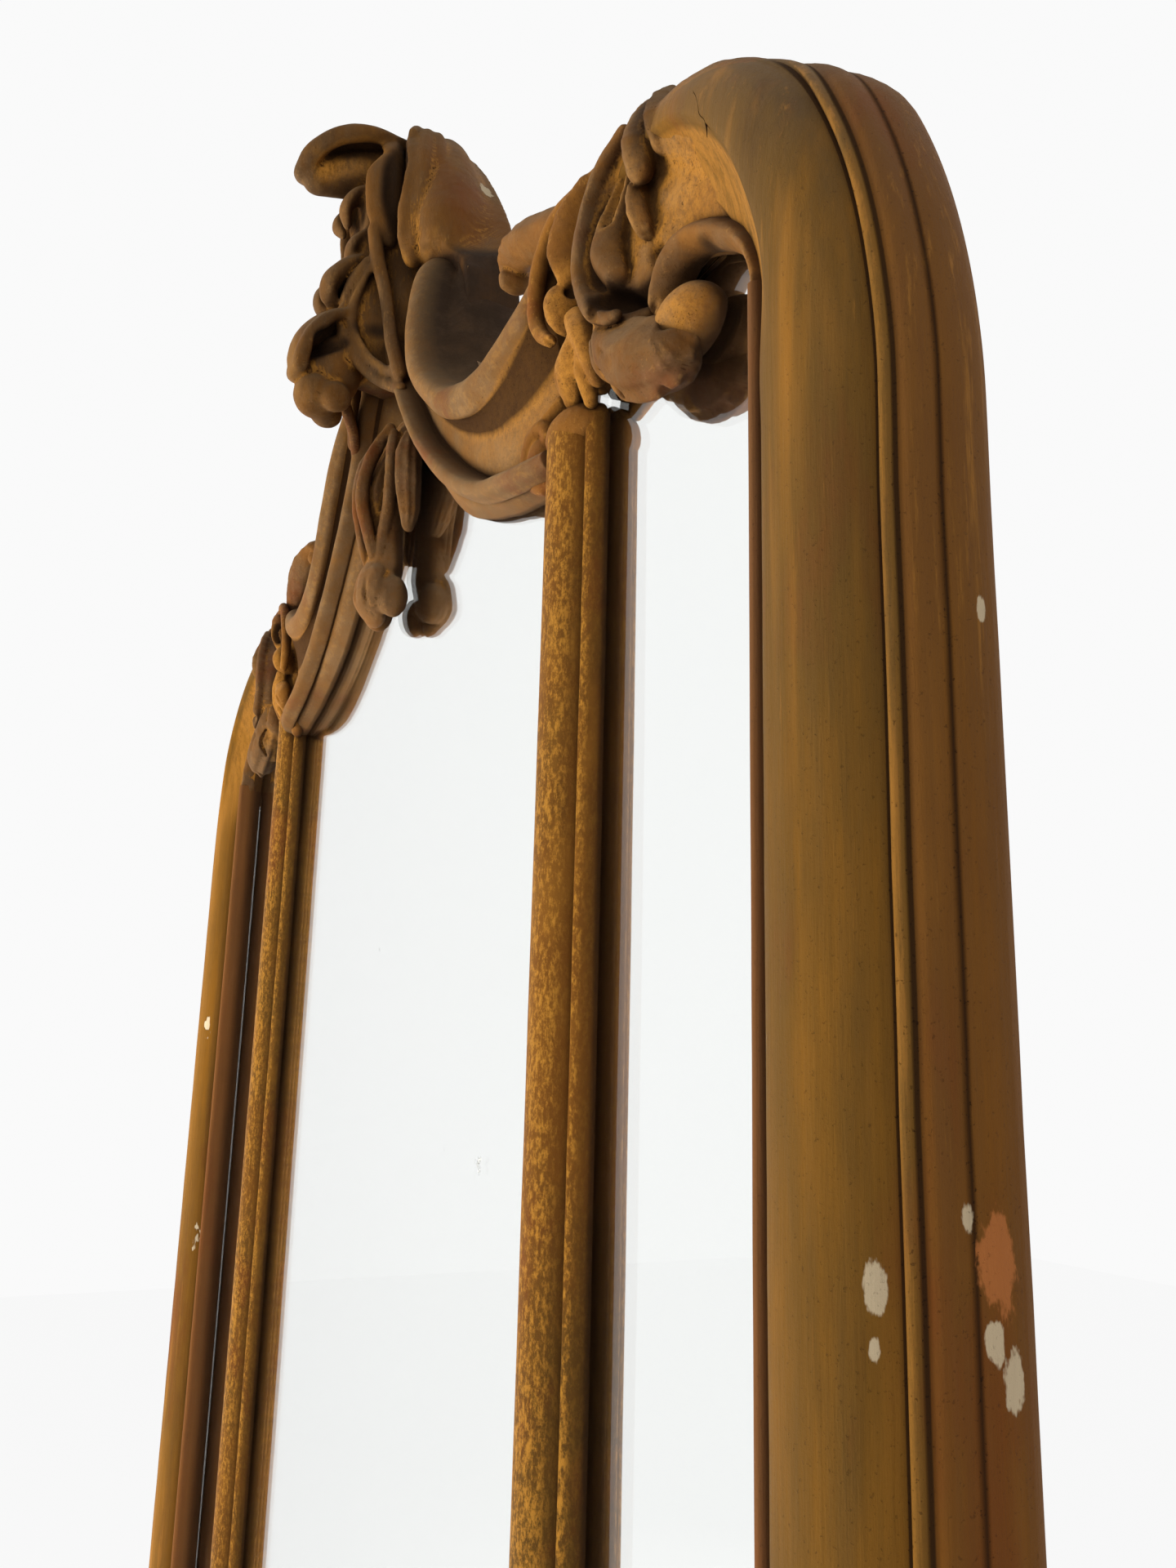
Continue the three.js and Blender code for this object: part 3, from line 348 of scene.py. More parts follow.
    def skin(self, floor):
        """One vertex in each cell that the surface crosses, and one face round each crossed edge."""
        f = self.value.copy()
        for axis in range(3):
            for end in (0, -1):
                spot = [slice(None)] * 3
                spot[axis] = end
                f[tuple(spot)] = np.maximum(f[tuple(spot)], self.cell)
        inside = f < 0
        shape = np.array(f.shape) - 1
        corner_count = sum(
            inside[i:i + shape[0], j:j + shape[1], k:k + shape[2]].astype(np.int8)
            for i in (0, 1) for j in (0, 1) for k in (0, 1))
        cells = np.argwhere((corner_count > 0) & (corner_count < 8))
        total = np.zeros((len(cells), 3))
        hits = np.zeros(len(cells))
        for axis in range(3):
            step = np.eye(3, dtype=int)[axis]
            others = [np.eye(3, dtype=int)[k] for k in range(3) if k != axis]
            for p in (0, 1):
                for q in (0, 1):
                    start = p * others[0] + q * others[1]
                    fa = f[tuple((cells + start).T)]
                    fb = f[tuple((cells + start + step).T)]
                    crossed = (fa < 0) != (fb < 0)
                    t = np.where(crossed, fa / np.where(crossed, fa - fb, 1), 0)
                    total[crossed] += (start + t[:, None] * step)[crossed]
                    hits += crossed
        local = self.drawn_on(f, cells + total / hits[:, None])
        points = self.low + local * self.cell
        number = np.full(shape, -1, np.int64)
        number[tuple(cells.T)] = np.arange(len(cells))
        faces = []
        for axis in range(3):
            step = np.eye(3, dtype=int)[axis]
            u_step = np.eye(3, dtype=int)[(axis + 1) % 3]
            v_step = np.eye(3, dtype=int)[(axis + 2) % 3]
            first = tuple(slice(0, -1) if k == axis else slice(1, -1) for k in range(3))
            second = tuple(slice(1, None) if k == axis else slice(1, -1) for k in range(3))
            crossed = inside[first] != inside[second]
            edge = np.argwhere(crossed) + (1 - step)
            outward = inside[tuple(edge.T)]
            ring = [number[tuple((edge - back).T)] for back in (0 * u_step, u_step, u_step + v_step, v_step)]
            quad = np.stack(ring, axis=1)
            quad[~outward] = quad[~outward][:, ::-1]
            faces.append(quad)
        fine = self.hollowness(2.4, floor)
        wide = self.hollowness(7.0, floor)
        spot = tuple(np.clip(np.round(local).astype(int), 0, np.array(f.shape) - 1).T)
        marks = {"fine_hollow": fine[spot], "wide_hollow": wide[spot]}
        x, z, h = np.abs(points[:, 0]), points[:, 1], points[:, 2]
        for mark, reach, distance in self.tints:
            share = np.clip(1 - distance(x, z, h) / reach, 0, 1)
            marks[mark] = np.maximum(marks.get(mark, 0), share)
        return points, np.concatenate(faces), marks


# ---------------------------------------------------------------- meshes and pieces
def mesh_object(name, points, faces, material, marks=None, smooth=True):
    """An object at the origin from world points and faces."""
    mesh = bpy.data.meshes.new(name)
    mesh.from_pydata(np.asarray(points).tolist(), [], [list(map(int, face)) for face in faces])
    for mark, values in (marks or {}).items():
        attribute = mesh.attributes.new(mark, "FLOAT", "POINT")
        attribute.data.foreach_set("value", np.asarray(values, np.float32))
    mesh.materials.append(material)
    mesh.polygons.foreach_set("use_smooth", [smooth] * len(mesh.polygons))
    mesh.update()
    piece = bpy.data.objects.new(name, mesh)
    bpy.context.scene.collection.objects.link(piece)
    return piece


def settle(piece, slot, *replaced):
    """The piece set on the mirror's body, with the nodes that it stands for hidden. slot is not used."""
    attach(piece, BODY)
    if replaced:
        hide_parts(*replaced)
    return piece


def pair(name, points, faces, material, slot, replaced=(), marks=None, smooth=True):
    """The drawn right piece and its mirror, which stand for the same nodes on either side."""
    points = np.asarray(points)
    for hand, sign in (("right", 1), ("left", -1)):
        placed = points * (sign, 1, 1)
        turned = [face[::sign] for face in faces]
        piece = mesh_object(f"{name}_{hand}", placed, turned, material, marks, smooth)
        settle(piece, slot, *(f"{node}_{hand}" for node in replaced))


def carved(name, carving, material, slot, replaced, paired=True, floor=0.0):
    """The skin of a carving as a piece, or as a right and a left one. Wood is taken to go on below floor."""
    points, faces, marks = carving.skin(floor)
    if paired:
        pair(name, world(points), faces, material, slot, replaced, marks)
    else:
        settle(mesh_object(name, world(points), faces, material, marks), slot, *replaced)


def lofted(rings):
    """Points and faces of closed rings joined one to the next, with both ends closed."""
    rings = np.asarray(rings)
    count, around = rings.shape[:2]
    faces = []
    for r in range(count - 1):
        for i in range(around):
            j = (i + 1) % around
            faces.append((r * around + i, r * around + j, (r + 1) * around + j, (r + 1) * around + i))
    faces.append(tuple(range(around))[::-1])
    faces.append(tuple((count - 1) * around + i for i in range(around)))
    return rings.reshape(-1, 3), faces


def facing_out(points, faces):
    """The faces turned so that the closed shape has a positive volume."""
    total = 0.0
    for face in faces:
        a = points[face[0]]
        for i in range(1, len(face) - 1):
            total += np.dot(a, np.cross(points[face[i]], points[face[i + 1]]))
    return faces if total > 0 else [face[::-1] for face in faces]


# ---------------------------------------------------------------- materials
class Wire:
    """A number on a shader socket. Sums and products on it add Math nodes."""

    def __init__(self, paint, socket):
        self.paint = paint
        self.socket = socket

    def math(self, operation, *others):
        values = {i: other for i, other in enumerate((self, *others))}
        return self.paint.add("ShaderNodeMath", {"operation": operation}, values)

    def __add__(self, other):
        return self.math("ADD", other)

    def __radd__(self, other):
        return self.math("ADD", other)

    def __sub__(self, other):
        return self.math("SUBTRACT", other)

    def __rsub__(self, other):
        return self.paint.add("ShaderNodeMath", {"operation": "SUBTRACT"}, {0: other, 1: self})

    def __mul__(self, other):
        return self.math("MULTIPLY", other)

    def __rmul__(self, other):
        return self.math("MULTIPLY", other)

    def clamped(self):
        return self.paint.add("ShaderNodeClamp", {}, {"Value": self})

    def between(self, low, high):
        """0 below low, 1 above high, soft between."""
        return self.paint.add("ShaderNodeMapRange", {"interpolation_type": "SMOOTHSTEP"},
                              {"Value": self, "From Min": low, "From Max": high})


class Paint:
    """One material with its nodes."""

    def __init__(self, name, metallic=0.0, roughness=0.6, **constants):
        self.material = bpy.data.materials.new(name)
        self.material.use_nodes = True
        self.tree = self.material.node_tree
        self.shader = self.tree.nodes["Principled BSDF"]
        self.shader.inputs["Metallic"].default_value = metallic
        self.shader.inputs["Roughness"].default_value = roughness
        for socket, value in constants.items():
            self.shader.inputs[socket.replace("_", " ")].default_value = value
        self.place = self.add("ShaderNodeTexCoord", {}, {}, output="Object")

    def add(self, kind, settings, values, output=0):
        """A node of that kind: its settings first, then the values or links of its sockets."""
        node = self.tree.nodes.new(kind)
        for key, value in settings.items():
            setattr(node, key, value)
        for key, value in values.items():
            if isinstance(value, Wire):
                self.tree.links.new(value.socket, node.inputs[key])
            else:
                node.inputs[key].default_value = value
        return Wire(self, node.outputs[output])

    def stretched(self, stretch, shift=(0, 0, 0)):
        return self.add("ShaderNodeMapping", {}, {"Vector": self.place, "Scale": stretch, "Location": shift})

    def noise(self, scale, detail=4, roughness=0.6, stretch=(1, 1, 1), shift=(0, 0, 0)):
        return self.add("ShaderNodeTexNoise", {}, {
            "Vector": self.stretched(stretch, shift), "Scale": scale, "Detail": detail,
            "Roughness": roughness})

    def mixed(self, share, first, second):
        """first where share is 0 and second where it is 1, for colours."""
        values = {"Factor": share}
        for key, colour in ((6, first), (7, second)):
            values[key] = colour if isinstance(colour, Wire) else (*colour, 1)
        return self.add("ShaderNodeMix", {"data_type": "RGBA"}, values, output=2)

    def mark(self, name):
        """A mark that the mesh carries."""
        return self.add("ShaderNodeAttribute", {"attribute_name": name}, {}, output="Fac")

    def upward(self):
        """How far the surface faces up, from -1 to 1."""
        normal = self.add("ShaderNodeNewGeometry", {}, {}, output="Normal")
        return self.add("ShaderNodeSeparateXYZ", {}, {0: normal}, output=2)

    def forward(self):
        """How far the surface faces the room, from -1 to 1."""
        normal = self.add("ShaderNodeNewGeometry", {}, {}, output="Normal")
        return self.add("ShaderNodeSeparateXYZ", {}, {0: normal}, output=1) * -1

    def occlusion_shade(self, distance):
        """Ambient occlusion, 0 in the open and towards 1 in a tight place, which only serves painted shade.
        """
        return 1 - self.add("ShaderNodeAmbientOcclusion", {"samples": 6}, {"Distance": distance}, output="AO")

    def near(self, point, reach, squash=0.45):
        """1 at a place given as (x, z, h) in millimetres and 0 at reach from it, longer up and down."""
        here = self.stretched((1, 1, squash))
        target = world(point) * (1, 1, squash)
        gap = self.add("ShaderNodeVectorMath", {"operation": "DISTANCE"}, {0: here, 1: tuple(target)},
                       output="Value")
        return 1 - (gap * (1 / (reach * MM))).clamped()

    def feed(self, **links):
        """Wires joined to the shader's sockets, which are named with _ for a space."""
        for socket, wire in links.items():
            self.tree.links.new(wire.socket, self.shader.inputs[socket.replace("_", " ")])
        return self

    def bumped(self, height, distance, strength=1.0, over=None):
        values = {"Height": height, "Distance": distance, "Strength": strength}
        if over is not None:
            values["Normal"] = over
        return self.add("ShaderNodeBump", {}, values, output="Normal")


def srgb(red, green, blue):
    """A colour as it is seen, 0 to 255, as the linear numbers that a shader takes."""
    def linear(value):
        value /= 255
        return value / 12.92 if value <= 0.04045 else ((value + 0.055) / 1.055) ** 2.4
    return tuple(linear(value) for value in (red, green, blue))


# The first dark brown serves the dark streaks and pits, and also the painted shade in crevices
UMBER_AND_SHADE = srgb(44, 27, 14)
DUST = srgb(128, 104, 76)
GESSO = srgb(205, 186, 154)
BOLE = srgb(122, 58, 26)
BARE_WOOD = srgb(176, 108, 58)
# darkest brown, used only as painted shade in deep recesses and valleys
PAINTED_SHADE_BROWN = srgb(38, 25, 15)
BRIGHT_GOLD = srgb(184, 126, 50)
GRAIN_ALONG = (1, 1, 0.05)
GRAIN_ACROSS = (0.05, 1, 1)
EVEN = (1, 1, 1)


def gilding(name, main, second, gold, rub, dust, streak=EVEN, dip_gold=0.0, chips=0.0, red=0.3, crown=0.0,
            film_share=0.25, fineness=1.0, scuffs=(), streaks=0.15):
    """Old water gilding: mottled size and gold, rubbed on ridges, dusty on top, with painted shade darkening
    the quirks, crevices and marked recesses. crown keeps most of the rubbed gold on what faces forward."""
    paint = Paint(name, metallic=0.3, roughness=0.5, Specular_IOR_Level=0.12)
    broad = paint.noise(7, 3, 0.55, streak)
    mottle = paint.noise(42, 6, 0.7, streak, (3, 1, 2))
    grain = paint.noise(260 * fineness, 6, 0.75, streak, (5, 2, 7))
    speck = paint.noise(800, 3, 0.75)
    fine = paint.mark("fine_hollow")
    wide = paint.mark("wide_hollow")
    shade = paint.occlusion_shade(0.02)

    patch = paint.noise(13, 5, 0.65, tuple(0.25 + 0.75 * axis for axis in streak), (7, 5, 3))
    colour = paint.mixed((broad * 0.45 + mottle * 0.25 + patch * 0.4).between(0.46, 0.64), main, second)
    colour = paint.mixed(patch.between(0.54, 0.66) * 0.45, colour, BOLE)
    colour = paint.mixed(mottle.between(0.55, 0.8) * red, colour, BOLE)
    colour = paint.mixed(grain.between(0.35, 0.7) * 0.22, colour, second)
    light_streak = paint.noise(48, 3, 0.6, streak, (11, 3, 8))
    dark_streak = paint.noise(34, 4, 0.65, streak, (4, 13, 6))
    colour = paint.mixed(light_streak.between(0.52, 0.7) * streaks, colour, gold)
    colour = paint.mixed(dark_streak.between(0.54, 0.72) * streaks * 0.9, colour, UMBER_AND_SHADE)
    colour = paint.mixed(paint.mark("outer").clamped() * (0.1 + patch * 0.7), colour, srgb(112, 62, 22))
    ridge = ((-1) * fine).between(0.08, 0.45)
    breaks = mottle * (0.4 / fineness) + speck * (0.4 - 0.4 / fineness)
    worn = (grain * 0.6 + breaks + ridge * 0.1).between(0.62 - 0.14 * rub, 0.72 - 0.1 * rub)
    if crown:
        worn = worn * (1 - crown + crown * paint.forward().between(0.5, 0.85))
    worn = (worn * min(rub * 1.2, 1)).clamped()
    colour = paint.mixed(worn, colour, gold)
    dip = wide.between(0.02, 0.2) * (1 - wide.between(0.34, 0.6))
    patchy = (grain * 0.8 + speck * 0.3 + mottle * 0.3).between(0.52, 0.82)
    kept = (dip * dip_gold * patchy + paint.mark("gilded") * (0.1 + patchy)).clamped()
    colour = paint.mixed(kept, colour, BRIGHT_GOLD)
    dusty = paint.upward().between(0.1, 0.9) * (mottle * 0.6 + broad * 0.5).between(0.25, 0.6) * dust
    film = (mottle * 0.7 + broad * 0.3).between(0.42, 0.62) * (1 - wide.between(0.0, 0.2)) * film_share
    dusty = (dusty + film + ridge * 0.35 * dust * mottle).clamped()
    colour = paint.mixed(dusty, colour, DUST)
    # painted shade: ambient occlusion and the hollow marks darken the colour towards dark brown in crevices
    # and quirks
    crevice_shade = shade.between(0.1, 0.55) * 0.9 + wide.between(0.14, 0.46) * 0.85 + fine.between(0.15, 0.5) * 0.9
    crevice_shade = (crevice_shade * (0.75 + mottle * 0.5)).clamped()
    colour = paint.mixed(crevice_shade * 0.92, colour, UMBER_AND_SHADE)
    pits = (speck.between(0.62, 0.7) * (0.35 + dip + paint.mark("gilded"))).clamped()
    colour = paint.mixed(pits * 0.75, colour, UMBER_AND_SHADE)
    # painted shade: the marked recesses and the valleys near the wall are darkened almost to black-brown
    deep_shade = (paint.mark("painted_shade") * (0.7 + mottle * 0.5)).clamped()
    colour = paint.mixed(deep_shade * 0.94, colour, PAINTED_SHADE_BROWN)
    for x, z, h, reach, bare in scuffs:
        ragged = paint.noise(170, 4, 0.7, (1, 1, 0.4))
        lost = (paint.near((x, z, h), reach) * 0.6 + ragged * 0.5).between(0.58, 0.64)
        colour = paint.mixed(lost * 0.85, colour, bare)
    chipped = 0.0
    if chips:
        flakes = paint.noise(16, 5, 0.6, (1, 1, 0.55), (9, 4, 1)) + grain * 0.06
        chipped = flakes.between(0.79 - chips, 0.8 - chips)
        colour = paint.mixed(chipped, colour, GESSO)

    shine = (worn + kept).clamped()
    roughness = 0.56 + grain * 0.16 - shine * 0.12 + dusty * 0.3 + crevice_shade * 0.3
    metal = (0.3 + shine * 0.25) * (1 - dusty) * (1 - crevice_shade) * (1 - deep_shade)
    height = grain * 0.7 + speck * 0.25 + mottle * 1.2 - pits * 0.8
    if chips:
        metal = metal * (1 - chipped)
        height = height - chipped * 1.4
    paint.feed(Base_Color=colour, Roughness=roughness.clamped(), Metallic=metal.clamped())
    paint.feed(Normal=paint.bumped(height, 0.0007, 0.8))
    return paint.material


# places where the gilding is lost, as (x, z, h, reach, what shows)
STILE_SCUFFS = [
    (501, -239, 22, 7, GESSO), (500, -252, 22, 4, GESSO), (513, -222, 5, 5, GESSO),
    (516.5, -232, -2, 13, BARE_WOOD), (516.5, -249, 0, 6, GESSO), (516.5, -258, -5, 7, GESSO),
    (516.5, -68, -6, 4, GESSO), (510, -120, 18, 4, GESSO)]
FLANK_SCUFFS = [(57, 393, -24, 13, GESSO), (62, 396, -18, 7, GESSO)]
MOULDING_COLOURS = (srgb(142, 95, 30), srgb(98, 70, 28), srgb(168, 113, 42))
stile_gilding = gilding(
    "stile_gilding", *MOULDING_COLOURS, 0.45, 0.3, GRAIN_ALONG, chips=0.03, film_share=0.08, streaks=0.45,
    scuffs=STILE_SCUFFS)
foot_gilding = gilding(
    "foot_gilding", *MOULDING_COLOURS, 0.45, 0.3, GRAIN_ACROSS, chips=0.03, film_share=0.08, streaks=0.45)
carved_gilding = gilding(
    "carved_gilding", srgb(130, 86, 40), srgb(92, 62, 32), srgb(166, 114, 46), 0.4, 0.5, dip_gold=1.0,
    film_share=0.35)
rail_gilding = gilding(
    "rail_gilding", srgb(126, 86, 44), srgb(104, 74, 40), srgb(168, 116, 48), 0.35, 0.6, dip_gold=0.35,
    film_share=0.4)
bar_gilding = gilding(
    "bar_gilding", srgb(116, 72, 24), srgb(92, 64, 24), srgb(186, 130, 48), 1.2, 0.15, (1, 1, 0.42),
    crown=0.8, film_share=0.0, fineness=2.0)
bead_gilding = gilding(
    "bead_gilding", srgb(126, 80, 40), srgb(108, 70, 38), srgb(160, 108, 50), 0.35, 0.25, GRAIN_ALONG,
    film_share=0.1)
bright_gilding = gilding(
    "bright_gilding", srgb(140, 92, 36), srgb(116, 74, 32), srgb(188, 132, 54), 0.55, 0.25, dip_gold=0.7,
    film_share=0.1)
flank_gilding = gilding(
    "flank_gilding", srgb(118, 78, 34), srgb(74, 50, 26), srgb(158, 108, 42), 0.4, 0.5, (1, 1, 0.4),
    dip_gold=0.8, chips=0.05, film_share=0.3, streaks=0.35, scuffs=FLANK_SCUFFS)


# ---------------------------------------------------------------- swept members
def ellipse_place(degrees):
    """The middle of the round member on the shoulder, from 0 at the springing to 90 on top, as (x, z)."""
    angle = math.radians(degrees)
    return np.array([SHOULDER_X + SHOULDER_WIDTH * math.cos(angle), SHOULDER_HEIGHT * math.sin(angle)])


def ellipse_normal(degrees):
    """The way outwards from the shoulder there."""
    angle = math.radians(degrees)
    normal = np.array([math.cos(angle) / SHOULDER_WIDTH, math.sin(angle) / SHOULDER_HEIGHT])
    return normal / np.linalg.norm(normal)


def moulding_section():
    """(u, h, hollow): u outwards from the middle of the round member."""
    inner = -28.5
    round_part = [
        (TORUS_RADIUS * math.cos(math.radians(a)), TORUS_H + TORUS_RADIUS * math.sin(math.radians(a)), 0.0)
        for a in np.linspace(174, 25, 30)]
    outside = [
        (24.9, 16.6, 0.6), (25.1, 15.7, 1.0), (25.6, 15.5, 0.9), (26.1, 16.6, -0.2), (26.9, 17.6, -0.6),
        (27.9, 17.6, -0.6), (28.8, 16.6, -0.4), (29.2, 15.0, 0.3), (29.6, 13.9, 0.7), (30.3, 13.6, 0.2),
        (31.6, 13.3, -0.1), (33.2, 12.0, -0.2), (34.5, 9.6, -0.2), (35.1, 6.8, 0.0), (35.2, 4.6, 0.3),
        (35.4, 3.4, 0.5), (36.1, 2.2, 0.1), (36.9, 0.2, -0.1), (37.4, -3.0, -0.2), (37.5, -6.8, -0.2),
        (37.2, -10.0, -0.1), (36.2, -13.0, -0.1), (34.0, -15.4, 0.0), (31.0, -17.4, 0.0), (26.0, -19.6, 0.0),
        (20.0, -22.0, 0.0), (8.0, -22.0, 0.0), (8.0, 0.2, 0.0)]
    return [(inner, 0.2, 0.5), (inner, 6.5, 0.8), (-27.4, 7.2, 0.8)] + round_part + outside


TORUS_END = 94  # degrees of the shoulder where the round member ends
FADE_FROM = 32  # degrees where the outer members begin to sink, and over how many
FADE_OVER = 30
FADE_KEEP = 24  # what lies further out than this sinks
SLIM_FROM = 30
COVE_EDGE = -1.5
HIDDEN_POINTS = 5  # points of the section behind the moulding, which never sink
STILE_RINGS = 60
SHOULDER_RINGS = 64
BOTTOM_RINGS = 70
ROUNDED_END = [(0.96, 3), (0.86, 6), (0.68, 8.5), (0.4, 10)]  # size, and how far back, of each last ring


def cove_share(angle):
    """How far the inner flank of the round member is hollowed as the shoulder turns."""
    t = min(max((angle - 4) / 28, 0), 1)
    return t * t * (3 - 2 * t)


def slimness(angle):
    """The size of the round member against its size up the side."""
    return 1 - 0.36 * max((angle - SLIM_FROM) / (TORUS_END - SLIM_FROM), 0) ** 1.4


def outer_share(angle):
    """How much of the outer members is left: all of them up the side and none over the top."""
    t = min(max(1 - (angle - FADE_FROM) / FADE_OVER, 0), 1)
    return t * t * (3 - 2 * t)


def member_ring(centre, outward, angle, shift):
    """The section set at a place of the path, with the outer members sunk as the shoulder turns."""
    share = outer_share(angle)
    slim = slimness(angle)
    coved = cove_share(angle)
    rows = moulding_section()
    first = next(i for i, row in enumerate(rows) if row[0] > FADE_KEEP + 0.7)
    last = len(rows) - HIDDEN_POINTS
    ring = []
    for i, (u, h, _) in enumerate(rows):
        if first <= i <= last:
            round_angle = math.radians(24 - 88 * (i - first) / (last - first))
            u = u * share / slim + TORUS_RADIUS * math.cos(round_angle) * (1 - share)
            h = h * share + (TORUS_H + TORUS_RADIUS * math.sin(round_angle)) * (1 - share)
        if h > 7.3 and u < COVE_EDGE:
            cove = 13 + 18 * max((u + 28) / 26, 0) ** 1.7
            h += (min(h, cove) - h) * coved
        out = u * slim
        h = h * slim if h > 0 else h
        ring.append((centre[0] + outward[0] * out, centre[1] + outward[1] * out + shift(u), h))
    return ring


def section_marks(angles):
    """Marks for every point of the rings, which stand at the given angles of the shoulder."""
    marks = {"fine_hollow": [], "wide_hollow": [], "outer": [], "gilded": []}
    for angle in angles:
        share = outer_share(angle)
        for u, _, dip in moulding_section():
            dip = dip * share if u > FADE_KEEP else dip
            marks["fine_hollow"].append(dip)
            marks["wide_hollow"].append(dip * 0.4)
            marks["outer"].append(share * (u > 30))
            marks["gilded"].append(0.3 * share if 26.2 < u < 28.9 else 0.75 * cove_share(angle) * (u < -5))
    return marks


def stile_member():
    """Rings and marks of the moulding from the mitre at the foot to its rounded end on the shoulder."""
    rings = [member_ring((TORUS_X, BOTTOM_Z), (1, 0), 0, lambda u: -u + 0.2)]
    angles = [0] * (1 + STILE_RINGS)
    for z in np.linspace(BOTTOM_Z + 45, -12, STILE_RINGS):
        rings.append(member_ring((TORUS_X, z), (1, 0), 0, lambda u: 0))
    for degrees in np.linspace(0, TORUS_END, SHOULDER_RINGS):
        rings.append(member_ring(ellipse_place(degrees), ellipse_normal(degrees), degrees, lambda u: 0))
        angles.append(degrees)
    rings = np.array(rings)
    last = rings[-1]
    middle = np.array([*ellipse_place(TORUS_END), 0.0])
    for share, back in ROUNDED_END:
        ring = middle + (last - middle) * share
        ring[:, 0] -= back
        rings = np.concatenate([rings, ring[None]])
        angles.append(TORUS_END)
    return rings, section_marks(angles)


def uneven(points, amount, size, seed):
    """The points moved a little, as hand work is never quite even."""
    p = points.T
    moved = points.copy()
    moved[:, 0] += amount * ripple(p, size, seed)
    moved[:, 2] += amount * ripple(p, size, seed + 1)
    return moved


def add_mouldings():
    """The big moulding up both sides and across the foot."""
    rings, marks = stile_member()
    points, faces = lofted(rings)
    points = uneven(points, 0.25, 70, 3)
    placed = world(points)
    pair("stile_member", placed, facing_out(placed, faces), stile_gilding, "aged_gilding",
         ("stile_moulding",), marks)
    rings = []
    for x in np.linspace(-TORUS_X, TORUS_X, BOTTOM_RINGS):
        at_end = abs(x) > TORUS_X - 1
        lean = math.copysign(1, x) if at_end else 0
        rings.append([(x + lean * (u - 0.2), BOTTOM_Z - u, h) for u, h, _ in moulding_section()])
    points, faces = lofted(rings)
    placed = world(uneven(points, 0.25, 70, 5))
    settle(mesh_object("bottom_moulding_run", placed, facing_out(placed, faces), foot_gilding,
                       section_marks([0] * BOTTOM_RINGS)), "aged_gilding", "bottom_moulding")


# ---------------------------------------------------------------- runs made with geometry nodes
def member_tree():
    """A node tree that carries a profile along a path, scales it by the path's girth and roughens it."""
    tree = bpy.data.node_groups.new("carried_member", "GeometryNodeTree")
    face = tree.interface
    face.new_socket("Path", in_out="INPUT", socket_type="NodeSocketGeometry")
    sockets = {"Profile": "Object", "Spacing": "Float", "Unevenness": "Float", "Seed": "Float",
               "Finish": "Material"}
    ids = {name: face.new_socket(name, in_out="INPUT", socket_type=f"NodeSocket{kind}").identifier
           for name, kind in sockets.items()}
    face.new_socket("Member", in_out="OUTPUT", socket_type="NodeSocketGeometry")
    inputs = tree.nodes.new("NodeGroupInput")
    outputs = tree.nodes.new("NodeGroupOutput")

    def node(kind, settings=None, **values):
        made = tree.nodes.new(kind)
        for key, value in (settings or {}).items():
            setattr(made, key, value)
        for key, value in values.items():
            socket = made.inputs[key.replace("_", " ")]
            if isinstance(value, bpy.types.NodeSocket):
                tree.links.new(value, socket)
            else:
                socket.default_value = value
        return made

    path = node("GeometryNodeMeshToCurve", Mesh=inputs.outputs["Path"])
    path = node("GeometryNodeResampleCurve", {"mode": "LENGTH"}, Curve=path.outputs[0],
                Length=inputs.outputs["Spacing"])
    path = node("GeometryNodeSetCurveNormal", {"mode": "FREE"}, Curve=path.outputs[0], Normal=(0, -1, 0))
    profile = node("GeometryNodeObjectInfo", Object=inputs.outputs["Profile"])
    outline = node("GeometryNodeMeshToCurve", Mesh=profile.outputs["Geometry"])
    girth = node("GeometryNodeInputNamedAttribute", {"data_type": "FLOAT"}, Name="girth")
    member = node("GeometryNodeCurveToMesh", Curve=path.outputs[0], Scale=girth.outputs[0],
                  Fill_Caps=True)
    tree.links.new(outline.outputs[0], member.inputs["Profile Curve"])
    place = node("GeometryNodeInputPosition")
    seeded = node("ShaderNodeVectorMath", {"operation": "ADD"})
    tree.links.new(place.outputs[0], seeded.inputs[0])
    tree.links.new(inputs.outputs["Seed"], seeded.inputs[1])
    rough = node("ShaderNodeTexNoise", Vector=seeded.outputs[0], Scale=14.0, Detail=2.0)
    centred = node("ShaderNodeVectorMath", {"operation": "SUBTRACT"})
    tree.links.new(rough.outputs["Color"], centred.inputs[0])
    centred.inputs[1].default_value = (0.5, 0.5, 0.5)
    shifted = node("ShaderNodeVectorMath", {"operation": "SCALE"})
    tree.links.new(centred.outputs[0], shifted.inputs[0])
    tree.links.new(inputs.outputs["Unevenness"], shifted.inputs["Scale"])
    moved = node("GeometryNodeSetPosition", Geometry=member.outputs[0], Offset=shifted.outputs[0])
    soft = node("GeometryNodeSetShadeSmooth", Geometry=moved.outputs[0], Shade_Smooth=True)
    real = node("GeometryNodeRealizeInstances", Geometry=soft.outputs[0])
    done = node("GeometryNodeSetMaterial", Geometry=real.outputs[0], Material=inputs.outputs["Finish"])
    tree.links.new(done.outputs[0], outputs.inputs[0])
    return tree, ids


def line_object(name, points, closed=False, girth=None):
    """An object of edges only, open or closed, that may carry a girth at each point."""
    mesh = bpy.data.meshes.new(name)
    count = len(points)
    edges = [(i, i + 1) for i in range(count - 1)] + ([(count - 1, 0)] if closed else [])
    mesh.from_pydata([tuple(p) for p in points], edges, [])
    if girth is not None:
        attribute = mesh.attributes.new("girth", "FLOAT", "POINT")
        attribute.data.foreach_set("value", np.asarray(girth, np.float32))
    line = bpy.data.objects.new(name, mesh)
    bpy.context.scene.collection.objects.link(line)
    return line


